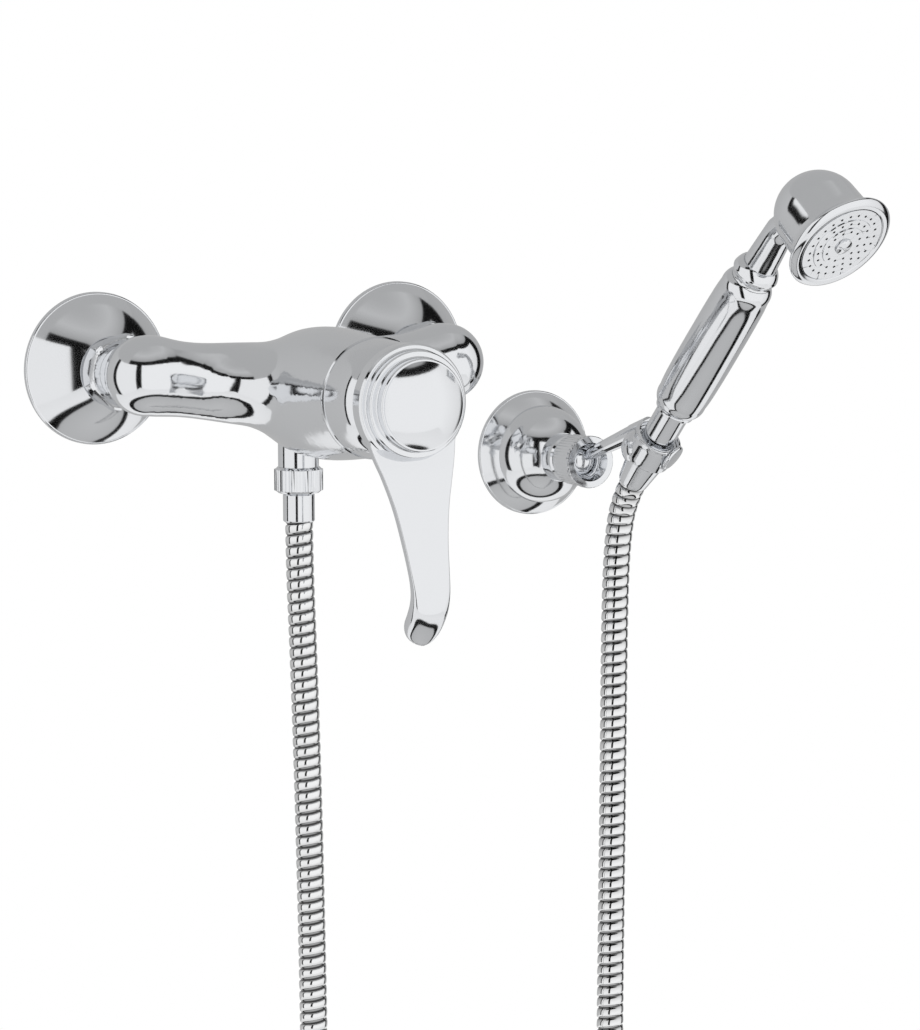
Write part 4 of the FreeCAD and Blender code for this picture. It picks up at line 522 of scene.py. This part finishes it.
def tone_ramp(tree, value, stops):
    """A grey ramp over a value, with its stops as places and tones."""
    ramp = add_node(tree, "ShaderNodeValToRGB", (-300, 0))
    elements = ramp.color_ramp.elements
    elements[0].position, elements[1].position = stops[0][0], stops[-1][0]
    for position, _ in stops[1:-1]:
        elements.new(position)
    for element, (_, tone) in zip(elements, stops):
        element.color = (tone, tone, tone, 1.0)
    tree.links.new(value, ramp.inputs[0])
    return ramp.outputs[0]


def grain_group():
    """Shader group: polishing marks. Gives a roughness near a base value and a fine surface height."""
    if "Polishing marks" in bpy.data.node_groups:
        return bpy.data.node_groups["Polishing marks"]
    group = bpy.data.node_groups.new("Polishing marks", "ShaderNodeTree")
    for name, default in (("Roughness", 0.05), ("Variation", 0.03), ("Scale", 60.0)):
        socket = group.interface.new_socket(name=name, in_out="INPUT", socket_type="NodeSocketFloat")
        socket.default_value = default
    for name in ("Roughness", "Height"):
        group.interface.new_socket(name=name, in_out="OUTPUT", socket_type="NodeSocketFloat")
    entry = add_node(group, "NodeGroupInput", (-900, 0))
    exit_ = add_node(group, "NodeGroupOutput", (500, 0))
    where = add_node(group, "ShaderNodeTexCoord", (-900, -200))
    blotches = add_node(group, "ShaderNodeTexNoise", (-650, 100))
    blotches.inputs["Detail"].default_value = 4.0
    fine = add_node(group, "ShaderNodeTexNoise", (-650, -200))
    fine.inputs["Scale"].default_value = 900.0
    fine.inputs["Detail"].default_value = 2.0
    centred = add_node(group, "ShaderNodeMath", (-400, 100), operation="SUBTRACT")
    centred.inputs[1].default_value = 0.5
    spread = add_node(group, "ShaderNodeMath", (-200, 100), operation="MULTIPLY")
    total = add_node(group, "ShaderNodeMath", (0, 100), operation="ADD")
    floor = add_node(group, "ShaderNodeMath", (200, 100), operation="MAXIMUM")
    floor.inputs[1].default_value = 0.01
    links = group.links
    links.new(where.outputs["Object"], blotches.inputs["Vector"])
    links.new(where.outputs["Object"], fine.inputs["Vector"])
    links.new(entry.outputs["Scale"], blotches.inputs["Scale"])
    links.new(blotches.outputs["Fac"], centred.inputs[0])
    links.new(centred.outputs[0], spread.inputs[0])
    links.new(entry.outputs["Variation"], spread.inputs[1])
    links.new(spread.outputs[0], total.inputs[0])
    links.new(entry.outputs["Roughness"], total.inputs[1])
    links.new(total.outputs[0], floor.inputs[0])
    links.new(floor.outputs[0], exit_.inputs["Roughness"])
    links.new(fine.outputs["Fac"], exit_.inputs["Height"])
    return group


def finish(name, colour, metallic, roughness, variation, scale, bump, coat=0.0):
    """A solid finish: one colour with a little variation, polishing or moulding marks and a fine bump."""
    material, tree = new_material(name)
    links = tree.links
    out = add_node(tree, "ShaderNodeOutputMaterial", (600, 0))
    shader = add_node(tree, "ShaderNodeBsdfPrincipled", (300, 0))
    shader.inputs["Metallic"].default_value = metallic
    shader.inputs["Coat Weight"].default_value = coat
    marks = add_node(tree, "ShaderNodeGroup", (-200, -150))
    marks.node_tree = grain_group()
    marks.inputs["Roughness"].default_value = roughness
    marks.inputs["Variation"].default_value = variation
    marks.inputs["Scale"].default_value = scale
    where = add_node(tree, "ShaderNodeTexCoord", (-700, 200))
    cloud = add_node(tree, "ShaderNodeTexNoise", (-500, 200))
    cloud.inputs["Scale"].default_value = scale * 0.4
    tint = add_node(tree, "ShaderNodeMix", (0, 200), data_type="RGBA")
    tint.inputs[6].default_value = [c * 0.97 for c in colour] + [1.0]
    tint.inputs[7].default_value = list(colour) + [1.0]
    relief = add_node(tree, "ShaderNodeBump", (50, -250))
    relief.inputs["Strength"].default_value = bump
    relief.inputs["Distance"].default_value = 0.0001
    links.new(where.outputs["Object"], cloud.inputs["Vector"])
    links.new(cloud.outputs["Fac"], tint.inputs[0])
    links.new(tint.outputs[2], shader.inputs["Base Color"])
    links.new(marks.outputs["Roughness"], shader.inputs["Roughness"])
    links.new(marks.outputs["Height"], relief.inputs["Height"])
    links.new(relief.outputs["Normal"], shader.inputs["Normal"])
    links.new(shader.outputs[0], out.inputs["Surface"])
    return material


def hose_chrome_with_painted_shade(colour):
    """Chrome that is painted dull and dark with shade down in the grooves, read from the hose's own
    attribute.
    """
    material = finish("hose_chrome", colour, 1.0, 0.07, 0.03, 80.0, 0.01)
    tree = material.node_tree
    shader = [n for n in tree.nodes if n.type == "BSDF_PRINCIPLED"][0]
    tint = shader.inputs["Base Color"].links[0].from_node
    groove_shade = add_node(tree, "ShaderNodeAttribute", (-200, 450), attribute_name="groove_shade")
    shade = add_node(tree, "ShaderNodeMix", (150, 350), data_type="RGBA")
    # Painted shade: deep in a groove the chrome's colour is mixed down to this dark grey
    shade.inputs[7].default_value = (0.10, 0.10, 0.10, 1.0)
    tree.links.new(groove_shade.outputs["Fac"], shade.inputs[0])
    tree.links.new(tint.outputs[2], shade.inputs[6])
    tree.links.new(shade.outputs[2], shader.inputs["Base Color"])
    return material


# Hose

def smooth_line(route):
    """The points of the NURBS spline that a route's points control."""
    curve = bpy.data.curves.new("hose_line", "CURVE")
    curve.dimensions = "3D"
    spline = curve.splines.new("NURBS")
    spline.points.add(len(route) - 1)
    for point, place in zip(spline.points, route):
        point.co = (*place, 1.0)
    spline.order_u = 3
    spline.use_endpoint_u = True
    spline.resolution_u = 24
    line = bpy.data.objects.new("hose_line", curve)
    bpy.context.collection.objects.link(line)
    bpy.context.view_layer.update()
    mesh = bpy.data.meshes.new_from_object(line)
    points = [v.co.copy() for v in mesh.vertices]
    bpy.data.objects.remove(line)
    bpy.data.meshes.remove(mesh)
    bpy.data.curves.remove(curve)
    return points


class Line:
    """A polyline with steady side directions, read by the distance along it."""

    def __init__(self, points):
        self.points = points
        self.marks = [0.0]
        for a, b in zip(points, points[1:]):
            self.marks.append(self.marks[-1] + (b - a).length)
        self.length = self.marks[-1]
        side = Vector((1, 0, 0))
        self.frames = []
        for i, point in enumerate(points):
            ahead = points[min(i + 1, len(points) - 1)]
            behind = points[max(i - 1, 0)]
            tangent = (ahead - behind).normalized()
            side = (side - tangent * side.dot(tangent)).normalized()
            self.frames.append((side.copy(), tangent.cross(side)))

    def at(self, distance, start=0):
        """Place and side directions at a distance; start is an index to look from."""
        i = start
        while i < len(self.marks) - 2 and self.marks[i + 1] < distance:
            i += 1
        share = (distance - self.marks[i]) / (self.marks[i + 1] - self.marks[i])
        place = self.points[i].lerp(self.points[i + 1], share)
        first = self.frames[i][0].lerp(self.frames[i + 1][0], share)
        second = self.frames[i][1].lerp(self.frames[i + 1][1], share)
        return place, first, second, i


def rib_corners(line, radius, pitch):
    """The corners of the hose's spiral rows, how deep in a groove each stands as its painted shade, and the
    number of rows.
    """
    count = int(round(line.length / pitch))
    step = line.length / count
    rows = [(turn + share, depth / 1000) for turn in range(count + 1) for share, depth in RIB_PROFILE]
    corners, groove_shades, start = [], [], 0
    for turn, depth in rows:
        for side in range(HOSE_SIDES):
            along = min(max((turn + side / HOSE_SIDES - 1.0) * step, 0.0), line.length)
            if side == 0:
                _, _, _, start = line.at(along, max(start - 1, 0))
            place, first, second, _ = line.at(along, start)
            angle = 2 * math.pi * side / HOSE_SIDES
            corners.append(place + (first * math.cos(angle) + second * math.sin(angle)) * (radius - depth))
            # Painted shade for each corner, from none on the crown to full at the groove's darkest depth
            groove_shades.append(min(depth / GROOVE_SHADE_DEPTH, 1.0))
    return corners, groove_shades, len(rows)


def rib_faces(rows):
    """The faces between the rows; each row's end meets the row one turn farther on."""
    per_turn = len(RIB_PROFILE)
    faces = []
    for row in range(rows - 1):
        for side in range(HOSE_SIDES):
            a = row * HOSE_SIDES + side
            b = a + HOSE_SIDES
            if side < HOSE_SIDES - 1:
                faces.append((a, a + 1, b + 1, b))
            elif row + 1 + per_turn < rows:
                c = (row + per_turn) * HOSE_SIDES
                faces.append((a, c, c + HOSE_SIDES, b))
    return faces


def ribbed_tube(name, line, radius, pitch):
    """A tube whose ribs wind round it as one long spiral, closed at both ends."""
    corners, groove_shades, rows = rib_corners(line, radius, pitch)
    tube = mesh_piece(name, corners, [], rib_faces(rows))
    # Keeps each corner's painted groove shade for the hose's material
    layer = tube.data.attributes.new("groove_shade", "FLOAT", "POINT")
    layer.data.foreach_set("value", groove_shades)
    select_only(tube)
    bpy.ops.object.mode_set(mode="EDIT")
    bpy.ops.mesh.select_all(action="SELECT")
    bpy.ops.mesh.remove_doubles(threshold=HOSE_REACH)
    bpy.ops.mesh.dissolve_degenerate(threshold=MERGE_REACH)
    bpy.ops.mesh.select_all(action="DESELECT")
    bpy.ops.mesh.select_mode(type="EDGE")
    bpy.ops.mesh.select_non_manifold(extend=False)
    bpy.ops.mesh.edge_face_add()
    bpy.ops.mesh.select_mode(type="VERT")
    bpy.ops.object.mode_set(mode="OBJECT")
    recalculated(tube)
    bpy.ops.object.shade_smooth_by_angle(angle=math.radians(HOSE_ANGLE))
    return tube


# Operators

class SHOWER_OT_stage(bpy.types.Operator):
    """Makes the floor, the light tent, the lamps and the camera"""

    bl_idname = "shower.stage"
    bl_label = "Stage"

    def execute(self, context):
        studio = context.scene.shower_studio
        self.floor(studio)
        self.world(context.scene, studio)
        for lamp in LAMPS:
            self.lamp(*lamp)
        self.camera(context.scene, studio)
        context.scene.view_settings.view_transform = "Standard"
        return {"FINISHED"}

    def floor(self, studio):
        """Pale paper, white to the camera apart from the shadow, and pale in the metal."""
        bpy.ops.mesh.primitive_plane_add(size=FLOOR_SIZE, location=(*FLOOR_MIDDLE, studio.floor_level))
        floor = bpy.context.object
        floor.name = "floor"
        material, tree = new_material("floor_paper")
        out = add_node(tree, "ShaderNodeOutputMaterial", (600, 0))
        paper = add_node(tree, "ShaderNodeBsdfPrincipled", (0, 100))
        paper.inputs["Base Color"].default_value = (*studio.floor_colour, 1.0)
        paper.inputs["Roughness"].default_value = 0.9
        glow = add_node(tree, "ShaderNodeEmission", (0, -300))
        rays = add_node(tree, "ShaderNodeLightPath", (-200, 400))
        seen = reckon(tree, "MAXIMUM", rays.outputs["Is Camera Ray"], rays.outputs["Is Glossy Ray"])
        seen = reckon(tree, "MAXIMUM", seen, rays.outputs["Is Transmission Ray"])
        where = add_node(tree, "ShaderNodeTexCoord", (-900, -300))
        reach = add_node(tree, "ShaderNodeVectorMath", (-700, -300), operation="LENGTH")
        tree.links.new(where.outputs["Object"], reach.inputs[0])
        rings = tone_ramp(tree, reckon(tree, "DIVIDE", reach.outputs["Value"], FLOOR_RINGS[-1][0]),
                          [(place / FLOOR_RINGS[-1][0], tone) for place, tone in FLOOR_RINGS])
        shown = add_node(tree, "ShaderNodeMix", (-150, -300), data_type="RGBA")
        shown.inputs[7].default_value = (FLOOR_WHITE, FLOOR_WHITE, FLOOR_WHITE, 1.0)
        tree.links.new(rays.outputs["Is Camera Ray"], shown.inputs[0])
        tree.links.new(rings, shown.inputs[6])
        tree.links.new(shown.outputs[2], glow.inputs["Color"])
        blend = add_node(tree, "ShaderNodeMixShader", (350, 0))
        shadow = reckon(tree, "MULTIPLY", rays.outputs["Is Camera Ray"], SHADOW_SHARE)
        share = reckon(tree, "SUBTRACT", seen, shadow)
        tree.links.new(share, blend.inputs[0])
        tree.links.new(paper.outputs[0], blend.inputs[1])
        tree.links.new(glow.outputs[0], blend.inputs[2])
        tree.links.new(blend.outputs[0], out.inputs["Surface"])
        give(floor, material)

    def world(self, scene, studio):
        """White to the camera, windows and screens to the metal, even light elsewhere."""
        world = bpy.data.worlds.new("light_tent")
        world.use_nodes = True
        scene.world = world
        tree = world.node_tree
        tree.nodes.clear()
        links = tree.links
        where = add_node(tree, "ShaderNodeTexCoord", (-1400, 0))
        split = add_node(tree, "ShaderNodeSeparateXYZ", (-1200, 0))
        links.new(where.outputs["Generated"], split.inputs[0])
        across, back, level = split.outputs
        turn = reckon(tree, "ARCTAN2", across, reckon(tree, "MULTIPLY", back, -1.0))
        turn = reckon(tree, "ADD", reckon(tree, "DIVIDE", turn, 2.0 * math.pi), 0.5)
        columns = tone_ramp(tree, turn, [((angle + 180.0) / 360.0, tone) for angle, tone in WINDOWS])
        rows = tone_ramp(tree, reckon(tree, "ADD", reckon(tree, "MULTIPLY", level, 0.5), 0.5),
                         [((height + 1.0) / 2.0, tone) for height, tone in CEILING])
        off_middle = reckon(tree, "ABSOLUTE", reckon(tree, "SUBTRACT", turn, CEILING_MIDDLE))
        front = reckon(tree, "LESS_THAN", off_middle, CEILING_REACH)
        above = reckon(tree, "GREATER_THAN", level, CEILING[0][0])
        high = add_node(tree, "ShaderNodeMix", (0, 200), data_type="RGBA")
        high.inputs[6].default_value = (CEILING[-1][1],) * 3 + (1.0,)
        links.new(front, high.inputs[0])
        links.new(rows, high.inputs[7])
        tent = add_node(tree, "ShaderNodeMix", (150, 0), data_type="RGBA")
        links.new(above, tent.inputs[0])
        links.new(columns, tent.inputs[6])
        links.new(high.outputs[2], tent.inputs[7])
        panels = self.background(tree, (300, 100), studio.panel_strength)
        links.new(tent.outputs[2], panels.inputs["Color"])
        white = self.background(tree, (300, -100), 1.0)
        even = self.background(tree, (300, -300), studio.ambient)
        rays = add_node(tree, "ShaderNodeLightPath", (300, 400))
        shiny = add_node(tree, "ShaderNodeMixShader", (550, 0))
        seen = add_node(tree, "ShaderNodeMixShader", (750, 0))
        out = add_node(tree, "ShaderNodeOutputWorld", (950, 0))
        links.new(rays.outputs["Is Glossy Ray"], shiny.inputs[0])
        links.new(even.outputs[0], shiny.inputs[1])
        links.new(panels.outputs[0], shiny.inputs[2])
        links.new(reckon(tree, "MAXIMUM", rays.outputs["Is Camera Ray"], rays.outputs["Is Transmission Ray"]),
                  seen.inputs[0])
        links.new(shiny.outputs[0], seen.inputs[1])
        links.new(white.outputs[0], seen.inputs[2])
        links.new(seen.outputs[0], out.inputs["Surface"])

    def background(self, tree, place, strength):
        made = add_node(tree, "ShaderNodeBackground", place)
        made.inputs["Color"].default_value = (1.0, 1.0, 1.0, 1.0)
        made.inputs["Strength"].default_value = strength
        return made

    def lamp(self, name, place, size, power):
        aim = Vector(LAMP_AIM) - Vector(place)
        bpy.ops.object.light_add(type="AREA", location=place)
        lamp = bpy.context.object
        lamp.name = name
        lamp.data.size = size
        lamp.data.energy = power
        lamp.visible_glossy = False
        lamp.rotation_euler = aim.to_track_quat("-Z", "Y").to_euler()

    def camera(self, scene, studio):
        pitch, roll, turn = studio.camera_turn
        bpy.ops.object.camera_add()
        camera = bpy.context.object
        camera.name = "photo_camera"
        camera.data.lens = studio.lens
        camera.data.sensor_width = SENSOR_WIDTH
        camera.data.clip_start = NEAR_CLIP
        spin = Matrix.Rotation(-turn, 4, "Z") @ Matrix.Rotation(math.pi / 2 + pitch, 4, "X")
        camera.matrix_world = Matrix.Translation(studio.camera_place) @ spin @ Matrix.Rotation(roll, 4, "Z")
        scene.camera = camera


class SHOWER_OT_finishes(bpy.types.Operator):
    """Makes the finishes and gives every CAD node its own"""

    bl_idname = "shower.finishes"
    bl_label = "Finishes"

    def execute(self, context):
        colours = context.scene.shower_finishes
        finish("polished_chrome", tuple(colours.chrome), 1.0, 0.035, 0.03, 45.0, 0.01)
        finish("raw_brass", tuple(colours.brass), 1.0, 0.28, 0.15, 120.0, 0.15)
        finish("white_ceramic", tuple(colours.ceramic), 0.0, 0.12, 0.05, 60.0, 0.02)
        finish("black_rubber", tuple(colours.rubber), 0.0, 0.75, 0.1, 150.0, 0.4)
        finish("grey_plastic", tuple(colours.grey_plastic), 0.0, 0.45, 0.12, 120.0, 0.2)
        finish("white_plastic", tuple(colours.white_plastic), 0.0, 0.40, 0.1, 120.0, 0.15)
        finish("zinc_steel", tuple(colours.zinc), 1.0, 0.32, 0.2, 90.0, 0.1)
        for name, piece in frame["nodes"].items():
            give(piece, bpy.data.materials["polished_chrome" if name in PLATED else slot_of(name)])
        return {"FINISHED"}


class SHOWER_OT_skins(bpy.types.Operator):
    """Lays a smooth skin over each CAD node that shows"""

    bl_idname = "shower.skins"
    bl_label = "Skins"

    def execute(self, context):
        pieces = {node: merged_copy(node, angle) for node, angle in SKINS.items()}
        pieces.update({node: turned_copy(node, line) for node, line in TURNED.items()})
        pieces["lever"] = lever_skin()
        for node, piece in pieces.items():
            give(piece, bpy.data.materials[slot_of(node)])
            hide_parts(node)
            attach(piece, body_of(node))
        return {"FINISHED"}


class SHOWER_OT_hose(bpy.types.Operator):
    """Winds the ribbed hose from the mixer's outlet to the hand spray"""

    bl_idname = "shower.hose"
    bl_label = "Hose"

    def execute(self, context):
        sizes = context.scene.shower_hose
        line = Line(smooth_line(HOSE_ROUTE))
        hose = ribbed_tube("ribbed_hose", line, sizes.radius, sizes.pitch)
        give(hose, hose_chrome_with_painted_shade(tuple(context.scene.shower_finishes.chrome)))
        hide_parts("hose")
        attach(hose, "mixer")
        return {"FINISHED"}


class SHOWER_PT_panel(bpy.types.Panel):
    """Lists the steps that dress the shower mixer"""

    bl_idname = "SHOWER_PT_panel"
    bl_label = "Shower mixer"
    bl_space_type = "VIEW_3D"
    bl_region_type = "UI"
    bl_category = "Shower mixer"

    def draw(self, context):
        for step in STEPS:
            self.layout.operator(step.bl_idname)
        for group in (context.scene.shower_studio, context.scene.shower_finishes, context.scene.shower_hose):
            for name in group.__annotations__:
                self.layout.prop(group, name)


STEPS = (SHOWER_OT_stage, SHOWER_OT_finishes, SHOWER_OT_skins, SHOWER_OT_hose)
CLASSES = (StudioSettings, FinishSettings, HoseSettings, *STEPS, SHOWER_PT_panel)


def register():
    for kind in CLASSES:
        bpy.utils.register_class(kind)
    bpy.types.Scene.shower_studio = PointerProperty(type=StudioSettings)
    bpy.types.Scene.shower_finishes = PointerProperty(type=FinishSettings)
    bpy.types.Scene.shower_hose = PointerProperty(type=HoseSettings)


def unregister():
    for name in ("shower_studio", "shower_finishes", "shower_hose"):
        delattr(bpy.types.Scene, name)
    for kind in reversed(CLASSES):
        bpy.utils.unregister_class(kind)


def main():
    register()
    bpy.ops.shower.stage()
    bpy.ops.shower.finishes()
    bpy.ops.shower.skins()
    bpy.ops.shower.hose()


if __name__ == "__main__":
    main()
